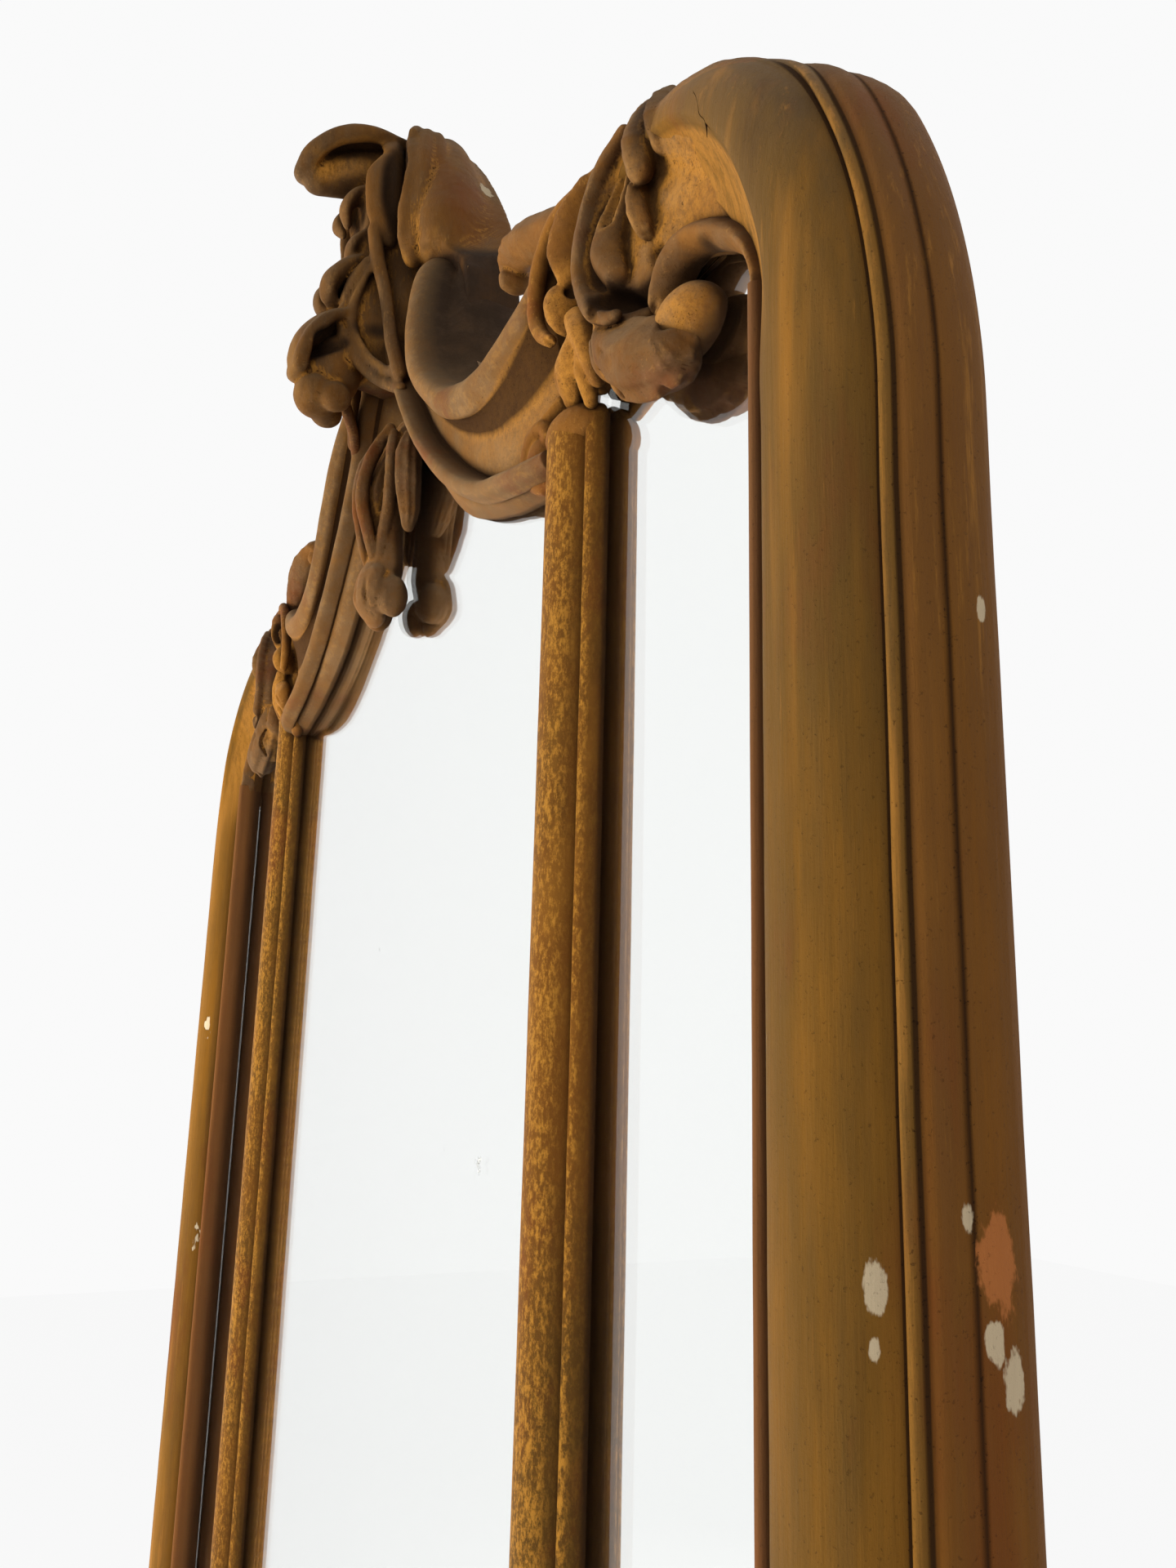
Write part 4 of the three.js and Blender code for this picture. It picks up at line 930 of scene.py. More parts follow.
def carried(name, path, profile, finish, girth=None, spacing=0.012, unevenness=0.0005, seed=1.0):
    """A plain mesh of the profile (u, h in millimetres) carried along a path of carver's points."""
    outline = line_object(f"{name}_profile", [(h * MM, u * MM, 0) for u, h in profile], closed=True)
    girth = np.ones(len(path)) if girth is None else girth
    run = line_object(name, world(path), girth=girth)
    modifier = run.modifiers.new("carried", "NODES")
    modifier.node_group = MEMBER_TREE
    for key, value in (("Profile", outline), ("Spacing", spacing), ("Unevenness", unevenness),
                       ("Seed", seed), ("Finish", finish)):
        modifier[MEMBER_IDS[key]] = value
    graph = bpy.context.evaluated_depsgraph_get()
    made = bpy.data.meshes.new_from_object(run.evaluated_get(graph))
    run.modifiers.clear()
    run.data = made
    bpy.data.objects.remove(outline)
    return run


MEMBER_TREE, MEMBER_IDS = member_tree()

BAR_PROFILE = [
    (-23, 0.3), (-22.8, 3.2), (-22.3, 5.4), (-21.2, 7.2), (-19.9, 8.5), (-18.9, 9.2), (-18, 9.6),
    (-17.2, 9.5), (-16.6, 8.8), (-16.2, 7.9)]
BAR_CROWN = [(17 * math.cos(a), 2 + 17 * math.sin(a)) for a in np.radians(np.linspace(158, 22, 26))]
BEAD_PROFILE = [
    (-4.2, 0.3), (-4.25, 13.8), (-3.7, 16.4), (-2.6, 18.4), (-1.2, 19.7), (0, 20), (1.2, 19.7),
    (2.6, 18.4), (3.7, 16.4), (4.25, 13.8), (4.2, 0.3)]
BEAD_TOP_Z = 66
CRACK_PLACES = [(63, 62), (60, 72), (57, 78), (53.5, 88), (50, 92), (47, 99)]  # degrees along, and round
CRACK_PROFILE = [(-0.45, -0.6), (0, 0.12), (0.45, -0.6)]
CRACK_STEPS = 40


def crack_finish():
    """The dark of a crack in the gesso."""
    paint = Paint("crack_shadow", 0.0, 0.95, Specular_IOR_Level=0.0)
    depth = paint.noise(300, 3)
    paint.feed(Base_Color=paint.mixed(depth, srgb(30, 20, 12), srgb(46, 30, 18)))
    return paint.material


def add_runs():
    """The straight bars and beads, and the crack on the shoulder."""
    bar_profile = BAR_PROFILE + BAR_CROWN + [(-u, h) for u, h in reversed(BAR_PROFILE)]
    for hand, sign in (("right", 1), ("left", -1)):
        path = [(sign * BAR_X, SIGHT_LOW_Z + 0.3, 0), (sign * BAR_X, BAR_TOP_Z, 0)]
        bar = carried(f"bar_member_{hand}", path, bar_profile, bar_gilding, seed=float(sign + 3))
        settle(bar, "rubbed_gilding", f"parclose_bar_{hand}")
        path = [(sign * BEAD_X, SIGHT_LOW_Z - 8, 0), (sign * (BEAD_X - 0.3), BEAD_TOP_Z, 0)]
        bead = carried(f"bead_member_{hand}", path, BEAD_PROFILE, bead_gilding, seed=float(sign + 6))
        settle(bead, "dusty_gilding")
    crack = []
    for degrees, round_angle in CRACK_PLACES:
        out, up = (TORUS_RADIUS * f(math.radians(round_angle)) for f in (math.cos, math.sin))
        slim = slimness(degrees)
        foot = ellipse_place(degrees) + out * slim * ellipse_normal(degrees)
        crack.append((*foot, (TORUS_H + up) * slim))
    line = smooth_line(crack, CRACK_STEPS)
    line[:, 0] += 0.7 * ripple(line.T, 9, 31)
    crack = carried("shoulder_crack", line, CRACK_PROFILE, crack_finish(),
                    girth=stops([0.2, 1, 0.8, 1.4, 1, 0.2], CRACK_STEPS), spacing=0.002, unevenness=0.0)
    settle(crack, "aged_gilding")
    low = [(-BEAD_X - 3.5, SIGHT_LOW_Z - 4.25, 0), (BEAD_X + 3.5, SIGHT_LOW_Z - 4.25, 0)]
    bead = carried("bottom_bead_run", low, BEAD_PROFILE, bead_gilding, seed=9.0)
    settle(bead, "dusty_gilding", "bottom_bead")


# ---------------------------------------------------------------- scroll rails
OUTER_RIM = [
    (268, 178, 22), (250, 166, 25), (225, 159, 27), (200, 157, 28), (170, 163, 29), (138, 180, 31),
    (105, 213, 34), (90, 246, 33), (79, 275, 29), (70, 298, 24), (62, 314, 18), (54, 328, 8)]
INNER_RIM = [
    (270, 84, 16), (254, 84, 21), (230, 88, 24), (196, 99, 24), (148, 127, 24), (98, 170, 25),
    (62, 212, 26), (36, 252, 28), (22, 280, 28), (16, 298, 26), (14, 312, 20), (12, 326, 10)]
LOWER_BAND = [8, 8, 8, 10, 18, 22, 26, 28, 22, 12, 8, 6]
BACK_REACH = [0, 0, 0, 0, 0, 4, 10, 11, 11, 10, 6, 2]
RAIL_STATIONS = 130
RAIL_ACROSS = 74
GILT_ACROSS = [0] * 13 + [0.4, 0.7, 0.9, 1, 1, 0.5] + [0] * 7
GILT_ALONG = [0.4, 0.5, 0.5, 0.4, 0.25, 0.1, 0.1, 0.2, 0.8, 1, 1, 0.4]
# painted shade across the rail, on the fall of the thick rim towards the wall, and along it, low in the
# valley
SHADE_ACROSS = [0] * 22 + [0.15, 0.7, 1, 1]
SHADE_ALONG = [0, 0, 0, 0, 0.15, 0.5, 0.9, 1, 1, 1, 1, 1]


def rail_section(width, low, high, band):
    """(s, h) from the lower band over the thin rim, the hollow and the thick rim to the top edge."""
    def mix(a, b, t):
        return a + (b - a) * t
    return [
        (-band, 0.3), (-band, 3.5), (-band * 0.92, 5.5), (-band * 0.6, low * 0.5), (-band * 0.3, low * 0.6),
        (-6.8, low - 8.5), (-5.6, low - 3.4), (-3.8, low + 0.4), (-1.2, low + 2.1), (1.4, low + 2.2),
        (3.8, low + 0.6), (5.4, low - 3), (6.6, low - 10), (8.0, low - 13), (9.6, low - 11.6),
        (mix(9, width, 0.2), low - 9.6), (mix(9, width, 0.5), mix(low, high, 0.5) - 10),
        (mix(9, width, 0.7), mix(low, high, 0.6) - 7.5), (width - 11, high - 4), (width - 7, high - 0.2),
        (width - 2, high + 2.0), (width + 3, high + 1.6), (width + 8, high - 1.6), (width + 11.6, high - 7.5),
        (width + 13.6, high - 14), (width + 14.6, high - 21)]


def dips(section, reach=3):
    """How hollow each point of an open section is: above 0 in a dip, below 0 on a ridge."""
    line = np.asarray(section, float)
    before = line[np.maximum(np.arange(len(line)) - reach, 0)]
    after = line[np.minimum(np.arange(len(line)) + reach, len(line) - 1)]
    run = after - before
    normal = np.stack([-run[:, 1], run[:, 0]], axis=1) / (np.linalg.norm(run, axis=1)[:, None] + 1e-6)
    return np.clip(np.sum(((before + after) / 2 - line) * normal, axis=1) / 3, -1, 1)


def add_rails():
    """The hollow scroll rails, with gold kept in the hollow and painted shade low in the valley and on the
    side that runs back to the wall.
    """
    outer = smooth_line(OUTER_RIM, RAIL_STATIONS)
    inner = smooth_line(INNER_RIM, RAIL_STATIONS)
    bands = stops(LOWER_BAND, RAIL_STATIONS)
    reaches = stops(BACK_REACH, RAIL_STATIONS)
    gilt_along = stops(GILT_ALONG, RAIL_STATIONS)
    shade_along = stops(SHADE_ALONG, RAIL_STATIONS)
    rings = []
    hollow = []
    gilded = []
    painted_shade = []
    for rim, lip, band, reach, gilt, deep_shade in zip(outer, inner, bands, reaches, gilt_along, shade_along):
        span = rim[:2] - lip[:2]
        width = np.linalg.norm(span)
        span /= width
        section = rail_section(width, lip[2], rim[2], band)
        top = smooth_line([(s, h, 0) for s, h in section], RAIL_ACROSS)[:, :2].tolist()
        skin = [(width + 15.4 + reach * 0.6, 3), (width + 15.8 + reach * 0.9, -12),
                (width + 15.8 + reach, -33.4), (width + 9, -33.4), (width + 9, 0.3)]
        rings.append([(lip[0] + span[0] * s, lip[1] + span[1] * s, h) for s, h in top + skin])
        hollow.extend([*dips(top), *([0] * len(skin))])
        gilded.extend([*(stops(GILT_ACROSS, RAIL_ACROSS) * gilt), *([0] * len(skin))])
        # painted shade: the back of the section and the side down to the wall are darkened low in the valley
        painted_shade.extend([*(stops(SHADE_ACROSS, RAIL_ACROSS) * deep_shade), *([deep_shade] * len(skin))])
    points, faces = lofted(rings)
    points = uneven(points, 0.3, 26, 11)
    placed = world(points)
    hollow = np.array(hollow)
    pair("rail_carving", placed, facing_out(placed, faces), rail_gilding, "dusty_gilding", ("top_scroll",),
         {"fine_hollow": hollow, "wide_hollow": hollow * 0.6, "gilded": gilded, "painted_shade": painted_shade})


# ---------------------------------------------------------------- shoulder carving
def torus_line(start, end, count, outwards):
    """The line of the round member between two angles of the shoulder, set outwards from its middle."""
    return [(*(ellipse_place(degrees) + outwards * ellipse_normal(degrees)), TORUS_H)
            for degrees in np.linspace(start, end, count)]


def shoulder_carving():
    """The acanthus that ends the round member, with its rim, bulge, pit and lower lobe."""
    block = Carving((308, 56, 0), (446, 216, 46), 1.0)
    # the end of the round member, and the sunk ground that it falls into
    block.put(strand(torus_line(40, 90, 7, 5), [20, 20, 20, 19.6, 18.6, 17, 15]))
    ground = [
        leaf([(366, 156, 1), (394, 142, 2), (418, 122, 1)], [26, 27, 22], [56, 50, 36]),
        knob((352, 140, 0), (32, 44, 18))]
    block.put(*ground, blend=8)
    # leaf that closes the round member, in two folds with a slit between them
    block.put(leaf([(361, 210, 7), (364, 200, 12), (368, 186, 17), (372, 171, 22), (374, 159, 24)],
                   [5, 12, 18, 19, 12], [5, 9, 13, 15, 11]), blend=1)
    block.put(leaf([(369, 209, 6), (376, 194, 14), (382, 178, 20), (385, 164, 20)],
                   [5, 12, 14, 9], [4, 8, 10, 7]), blend=1.5)
    slit = strand([(366, 208, 11), (371, 198, 18), (377, 184, 26), (381, 170, 29), (383, 160, 28)],
                  [1, 2, 2.3, 2.2, 1.2])
    block.take(slit, blend=0.8)
    # crescent rim that falls from the leaf and turns under the pit
    rim = [(356, 192, 22), (344, 179, 27), (337, 163, 29), (332, 146, 30), (333, 130, 29), (341, 115, 28),
           (350, 107, 27), (358, 104, 25)]
    block.put(strand([(x + 3, z - 1, h - 14) for x, z, h in rim], [8, 10, 12, 13, 13, 12, 9, 6]), blend=4)
    block.put(strand(rim, [3, 3.6, 3.8, 3.8, 3.8, 4, 3.8, 2.6]), blend=2.5)
    block.take(leaf([(353, 181, 32), (346, 165, 34), (342, 148, 34), (342, 130, 34), (351, 117, 32)],
                    [20, 26, 28, 28, 22], [7, 11, 12, 11, 8]), blend=1.5)
    # long bulge that lies in the hollow, gilded above and round at its end
    block.put(leaf([(357, 181, 14), (351, 167, 17), (346, 152, 19), (345, 139, 21), (349, 128, 20)],
                   [10, 16, 19, 20, 13], [8, 13, 15, 18, 13]), blend=1)
    gold_hollow = leaf([(355, 177, 24), (351, 164, 26), (349, 152, 28)], [13, 14, 9], [6, 8, 5])
    block.take(gold_hollow, blend=1.5)
    # dark fold between the bulge and the cove
    block.put(leaf([(366, 168, 15), (366, 156, 19), (368, 144, 20), (371, 132, 18)],
                   [8, 13, 13, 8], [6, 8, 8, 6]), blend=0.8)
    # pit under the bulge
    pit = leaf([(349, 118, 30), (359, 113, 26), (371, 116, 24)], [38, 50, 40], [12, 14, 11])
    block.take(pit, blend=1.2)
    block.take(knob((371, 126, 24), (5, 10, 15)), blend=2)
    # lower lobe, cupped under the pit and rolling over towards the volute
    block.put(leaf([(328, 122, 11), (338, 105, 13), (353, 91, 14), (370, 81, 14), (383, 77, 12),
                    (389, 81, 10)], [16, 26, 29, 29, 26, 14], [11, 25, 32, 32, 27, 14],
                   flutes=3, depth=1.1), blend=1)
    block.take(strand([(344, 111, 29), (354, 100, 31), (368, 91, 31), (382, 89, 28)], [1.2, 2.2, 2.4, 1.4]),
               blend=4)
    block.take(strand([(347, 94, 27), (360, 81, 29), (376, 71, 26)], [0.8, 1.4, 0.8]), blend=2)
    block.take(knob((377, 61, 10), (4, 5, 14)), knob((392, 66, 8), (4, 4, 16)), blend=1)
    # gilded tip over the side plate, split once
    tip = leaf([(338, 100, 12), (346, 91, 12), (353, 83, 10), (356, 76, 7)], [20, 20, 16, 8], [20, 22, 16, 8])
    block.put(tip, blend=1)
    block.take(strand([(334, 96, 20), (343, 86, 22), (348, 76, 16)], [1, 1.8, 2]), blend=0.8)
    block.put(leaf([(324, 112, 12), (329, 100, 12), (337, 90, 8)], [18, 18, 8], [12, 13, 6]), blend=1)
    block.tint("gilded", 3, gold_hollow, tip)
    block.tint("gilded", 26, knob((398, 146, 14), (8, 6, 4)))
    # painted shade in the pit, the slit and the hollow beside the bulge
    block.tint("painted_shade", 4, pit, slit)
    block.tint("painted_shade", 7, knob((341, 148, 18), (3, 22, 4)))
    return block.weather(0.3, 9, 4).flat_back(0.3)


def volute_carving():
    """The scroll that the thin inner member turns into."""
    block = Carving((366, 52, 0), (454, 142, 34), 0.85)
    arch = [(446.2, 58, 8.8), (443.8, 74, 8.6), (437, 88, 8.4), (426, 100, 8.2), (412.5, 110.5, 8),
            (398.5, 118.5, 8), (385, 121, 8), (375, 115, 8), (371, 105, 8), (375, 96, 7)]
    block.put(leaf(arch, [20, 20.4, 20, 19, 18.4, 19, 20, 20, 19, 16],
                   [8.2, 8.6, 9.6, 10.6, 11.6, 12.4, 13, 13, 12, 9]), blend=0.8)
    block.put(knob((386, 90, 7), (19, 13.5, 13)), blend=1)
    dish = leaf([(424, 88, 19), (415, 98, 19), (402, 107, 19), (390, 111, 19), (381, 107, 18)],
                [16, 20, 24, 22, 14], [4, 7, 10, 9, 5])
    block.take(dish, blend=1.5)
    eye = knob((402, 105, 15), (8, 5, 9))
    block.take(eye, blend=1)
    block.take(strand([(368, 98, 13), (375, 104, 17), (384, 107, 18)], [1, 1.6, 1]), blend=2)
    # painted shade in the eye of the scroll
    block.tint("painted_shade", 3, eye)
    block.tint("gilded", 8, knob((386, 92, 14), (12, 8, 6)))
    return block.weather(0.2, 8, 6).flat_back(0.3)


def clasp_carving():
    """The crescent rim, the small scroll and the split leaf on the rail's outer end."""
    block = Carving((252, 88, 0), (334, 214, 40), 1.0)
    block.put(knob((294, 170, 2), (24, 34, 14)), knob((304, 130, 2), (19, 26, 10)), blend=4)
    rim = [(322, 202, 14), (306, 198, 19), (290, 196, 22), (278, 188, 23), (269, 174, 23), (266, 158, 22),
           (271, 146, 21), (281, 137, 20)]
    block.put(strand(rim, [3.5, 4.2, 4.2, 4.2, 4.2, 4.2, 3.8, 3]), blend=1.5)
    block.take(strand([(294, 188, 24), (284, 181, 27), (276, 168, 27), (273, 156, 26)], [2, 3, 3, 2]),
               blend=2)
    block.put(leaf([(312, 198, 16), (302, 186, 20), (296, 172, 21), (296, 162, 19)], [14, 18, 18, 12],
                   [10, 15, 16, 12]), blend=2)
    block.take(leaf([(292, 180, 28), (292, 165, 28)], [22, 22], [4.2, 4.2]), blend=0.8)
    # small scroll: a flat pitted disc with an eye, and its tail
    block.put(knob((290, 149, 15), (8, 13, 13)), blend=0.8)
    block.take(strand([(298, 141, 10), (299, 138, 17), (298, 144, 25)], [0.7, 1, 0.7]), blend=0.6)
    block.put(leaf([(300, 138, 16), (307, 127, 16), (312, 115, 14), (313, 103, 11)],
                   [12, 14, 13, 8], [13, 15, 13, 8]), blend=1.2)
    block.take(knob((297, 153, 18), (5, 2.8, 2.8)), blend=0.8)
    block.take(leaf([(280, 136, 24), (290, 131, 26), (300, 130, 26)], [12, 16, 10], [4, 7, 3]), blend=1)
    # split leaf under the scroll
    block.put(leaf([(302, 128, 14), (293, 116, 15), (290, 105, 12)], [14, 15, 9], [16, 24, 12]), blend=1.2)
    block.put(leaf([(308, 122, 14), (306, 110, 13), (303, 98, 9)], [12, 12, 7], [10, 14, 7]), blend=1)
    block.take(strand([(303, 124, 23), (298, 110, 22), (299, 98, 18)], [0.9, 1.5, 1.4]), blend=0.8)
    block.take(strand([(292, 118, 23), (286, 106, 18)], [0.7, 1.3]), blend=0.8)
    block.tint("gilded", 5, knob((291, 149, 20), (13, 13, 6)),
               strand([(304, 136, 18), (312, 116, 16)], [6, 5]))
    block.tint("gilded", 4, strand([(296, 124, 14), (300, 102, 12)], [9, 7]))
    # painted shade in the groove and the small eye
    block.tint("painted_shade", 3, leaf([(292, 180, 22), (292, 165, 22)], [14, 14], [4, 4]),
               knob((297, 153, 18), (3, 2, 2)))
    return block.weather(0.3, 7, 8).flat_back(0.3)


def rail_tip_carving():
    """The round leaf tip on top of the rail's outer end."""
    block = Carving((192, 182, 0), (304, 244, 34), 1.0)
    block.put(leaf([(298, 192, 10), (272, 204, 13), (250, 213, 15), (232, 220, 15), (214, 224, 12),
                    (206, 219, 10)], [16, 22, 26, 26, 22, 14], [20, 24, 24, 22, 16, 8]), blend=2)
    block.take(strand([(284, 206, 26), (260, 216, 29), (238, 224, 29), (218, 228, 24)], [1.5, 3, 3, 1.5]),
               blend=4)
    block.put(knob((211, 214, 12), (6.5, 7, 9)), blend=2)
    block.take(knob((219, 208, 20), (5, 4, 7)), blend=2)
    return block.weather(0.3, 8, 10).flat_back(0.3)


def bar_head_carving():
    """The small scroll at the bar's head."""
    block = Carving((230, 66, 0), (308, 124, 26), 0.85)
    block.put(knob((282, 92, 0.5), (22.8, 14, 18.6)))
    block.put(strand([(266, 80, 6), (256, 78, 9), (247, 84, 11), (243, 94, 12), (247, 104, 12),
                      (256, 107, 11), (261, 100, 11)], [4, 5, 5.4, 5.6, 5.4, 4.6, 3]), blend=1)
    block.put(knob((252, 93, 5), (11, 13, 12)), blend=1.5)
    block.take(strand([(258, 86, 17), (251, 90, 19), (251, 98, 19), (256, 99, 18)], [0.8, 1.5, 1.5, 0.8]),
               blend=1)
    block.put(leaf([(268, 116, 6), (258, 112, 8), (248, 114, 7)], [10, 11, 6], [8, 8, 5]), blend=1)
    return block.weather(0.2, 6, 12).flat_back(0.3)


# ---------------------------------------------------------------- crest
BLOCK_ROWS = [
    (458, 0, 0, -2), (450, 9, 18, 6), (424, 32, 36, 16), (395, 54, 48, 22), (375, 68, 54, 22),
    (355, 81, 58, 20), (335, 92, 66, 12), (322, 99, 78, 7), (312, 103, 90, 3), (300, 103, 97, 1.5),
    (280, 105, 101, 1.2), (256, 108, 105, 1.2), (240, 110, 108, 1.2), (236, 110, 108, 1.2)]
KEEL_ROWS = [
    (440, 22, 12, 26), (430, 26, 16, 34), (410, 34, 22, 42), (386, 40, 22, 50), (362, 42, 18, 46),
    (338, 42, 18, 50), (312, 42, 18, 53), (284, 38, 18, 53), (262, 26, 16, 46)]


def crest_carving():
    """The right half of the crest and its mirror: block, cheek, lobe, hood, ribs and curl."""
    block = Carving((0, 224, -34.4), (114, 475, 96), 1.3)
    block.put(tapered(BLOCK_ROWS, -34, 4, 236, 458), blend=1)
    block.put(tapered(KEEL_ROWS, 0, 53, 262, 440), blend=6)
    # flank that rises from the valley and dies into the top
    block.put(strand([(60, 338, 2), (57, 352, 2), (50, 378, 0), (40, 404, -3), (26, 428, -6), (10, 446, -10)],
                     [20, 22, 20, 17, 14, 11]), blend=12)
    crease = strand([(60, 327, 24), (76, 324, 16), (92, 321, 0), (104, 320, -34)], [2, 2.6, 2.4, 1.6])
    block.take(crease, blend=2)
    # cheek: a leaf with broad flutes down each side, drooping to a rounded end
    cheek = [(26, 440, 7), (38, 428, 11), (47, 404, 14), (51, 380, 15), (51, 356, 17), (49, 338, 20),
             (47, 327, 22)]
    block.put(leaf(cheek, [18, 32, 40, 41, 37, 28, 14], [12, 18, 21, 21, 20, 18, 10],
                   flutes=3, depth=1.6, steps=48), blend=1)
    # lobe in front of the cheek: an oval with a thick front edge and a hollow behind it
    block.put(leaf([(25, 428, 32), (31, 412, 37), (33, 392, 40), (32, 368, 39), (30, 348, 34)],
                   [12, 22, 27, 25, 12], [9, 15, 17, 16, 8]), blend=1.2)
    lobe_hollow = leaf([(43, 414, 35), (46, 398, 37), (45, 374, 36), (41, 354, 33)], [12, 19, 20, 12],
                       [8, 16, 16, 8])
    block.take(lobe_hollow, blend=1)
    # ridge that runs on from the lobe down into the rail's thin rim
    block.put(strand([(30, 354, 44), (32, 332, 41), (36, 308, 36), (40, 286, 33), (46, 264, 31),
                      (54, 240, 27)], [5, 5, 4.6, 4.6, 5, 5]), blend=1.5)
    # hood: a lip that breaks forward over a scooped core
    block.put(strand([(0, 424, 18), (0, 418, 40), (0, 412, 60), (0, 404, 78)], [22, 18, 15, 12]), blend=3)
    lip = [(0, 437, 2), (0, 438, 26), (0, 436, 50), (0, 430, 68), (0, 420, 81), (0, 407, 87)]
    block.put(leaf(lip, [48, 54, 58, 56, 48, 30], [16, 13, 12, 12, 13, 13], side=SIDEWAYS, cup=-5), blend=2)
    rim = [(23, 431, 24), (27, 430, 46), (26, 426, 62), (21, 419, 76), (12, 411, 86), (0, 405, 89)]
    block.put(strand(rim, [4.5, 5.4, 6.2, 6.4, 6.4, 6.2]), blend=2)
    scoop = leaf([(27, 408, 34), (26, 408, 50), (21, 405, 66), (13, 400, 78)], [20, 26, 24, 14],
                 [14, 18, 16, 8], side=UPWARDS)
    block.take(scoop, blend=2.5)
    for x in (9, 19):
        block.take(strand([(x, 450, 20), (x, 447, 42), (x * 1.02, 441, 60), (x * 0.9, 432, 76)],
                          [0.8, 1.6, 1.6, 0.8]), blend=4)
    # pointed tip where the leaves of the top meet, and the turned edge beside it
    block.put(leaf([(0, 448, -6), (0, 461, -5), (0, 471.5, -7)], [34, 20, 4], [20, 13, 4], side=SIDEWAYS),
              blend=3)
    block.put(strand([(4, 455, 6), (20, 446, 14), (34, 438, 20), (44, 428, 26)], [3.4, 4.2, 4, 3]), blend=2)
    # lobes down the front
    block.put(leaf([(12, 398, 44), (12, 388, 55), (9, 378, 60), (5, 369, 57)], [13, 19, 17, 9], [9, 10, 9, 6],
                   side=SIDEWAYS), blend=1.5)
    block.put(leaf([(14, 362, 44), (13, 352, 53), (10, 343, 55), (8, 334, 52)], [12, 16, 14, 8], [8, 9, 8, 6],
                   side=SIDEWAYS), blend=1.5)
    block.put(leaf([(13, 340, 48), (12, 331, 58), (10, 320, 66), (6, 311, 66), (4, 304, 58)],
                   [14, 22, 25, 21, 10], [10, 13, 14, 11, 7], side=SIDEWAYS), blend=1.5)
    block.take(strand([(0, 396, 54), (0, 376, 62), (0, 352, 58), (0, 330, 66), (0, 306, 68)],
                      [1.5, 2.4, 2.2, 2.4, 1.6]), blend=3)
    # sunk panel on the flank of the keel, with a small hole
    block.take(leaf([(27, 312, 50), (28, 294, 50), (30, 278, 46), (34, 266, 40)], [14, 20, 20, 12],
                    [10, 13, 12, 8]), blend=1.5)
    hole = knob((26, 284, 42), (3.2, 4.2, 9))
    block.take(hole, blend=0.8)
    # ribs that run from the front down into the rails
    block.put(strand([(25, 334, 46), (18, 318, 54), (14, 302, 57), (15, 285, 57), (20, 266, 50),
                      (27, 251, 41), (36, 241, 33), (46, 234, 28), (54, 230, 25)],
                     [3, 3.8, 4.2, 4.4, 4.4, 4.4, 4, 4, 3.5]), blend=1)
    block.put(strand([(28, 328, 44), (22, 311, 50), (20, 294, 53), (22, 278, 50), (28, 262, 43),
                      (37, 251, 35), (46, 244, 30), (54, 238, 27)],
                     [2.5, 3, 3.4, 3.4, 3.4, 3.2, 3, 2.5]), blend=0.8)
    # curl at the foot: an open roll with a ball in it
    block.put(leaf([(0, 300, 34), (0, 299, 54), (0, 292, 70), (0, 280, 80), (0, 265, 84), (0, 252, 82)],
                   [38, 46, 48, 46, 40, 26], [11, 10, 10, 10, 10, 9], side=SIDEWAYS, cup=-5), blend=1.5)
    block.put(strand([(20, 294, 56), (22, 286, 68), (19, 272, 78), (11, 258, 82), (0, 251, 82)],
                     [3.4, 4.4, 4.8, 4.8, 4.8]), blend=2)
    block.put(knob((0, 262, 56), (20, 24, 17)), knob((0, 258, 68), (12, 14, 11)), blend=2)
    curl_hollow = leaf([(10, 268, 74), (18, 270, 68), (24, 272, 60)], [14, 18, 14], [12, 14, 10])
    block.take(curl_hollow, blend=1.5)
    for x in (8, 15):
        block.take(strand([(x, 306, 54), (x, 299, 72), (x * 0.9, 282, 88), (x * 0.8, 264, 91)],
                          [0.8, 1.5, 1.5, 0.8]), blend=3)
    block.put(knob((0, 240, 68), (16, 14.5, 15)), blend=0.8)
    block.put(knob((12, 236, 58), (9, 10, 11)), blend=1.5)
    # painted shade in the lobe hollow, the hole, the curl's hollow and the crease, and under the flank
    # towards the wall
    block.tint("painted_shade", 3, lobe_hollow, hole, curl_hollow, crease)
    block.tint("painted_shade", 9, strand([(70, 312, 8), (84, 310, -4), (98, 306, -30)], [6, 7, 7]),
               leaf([(100, 312, -14), (102, 280, -14), (108, 238, -14)], [60, 60, 60], [16, 16, 16]))
    block.tint("gilded", 5, scoop)
    block.tint("gilded", 6, strand([(44, 326, 30), (47, 308, 26), (50, 290, 26)], [4, 5, 4]))
    block.tint("gilded", 7, strand([(30, 274, 40), (36, 260, 34)], [5, 4]))
    block.tint("outer", 12, strand([(60, 410, 0), (76, 370, -6), (84, 344, -12)], [14, 16, 14]))
    return block.softened(2).weather(0.22, 17, 14).both_halves()


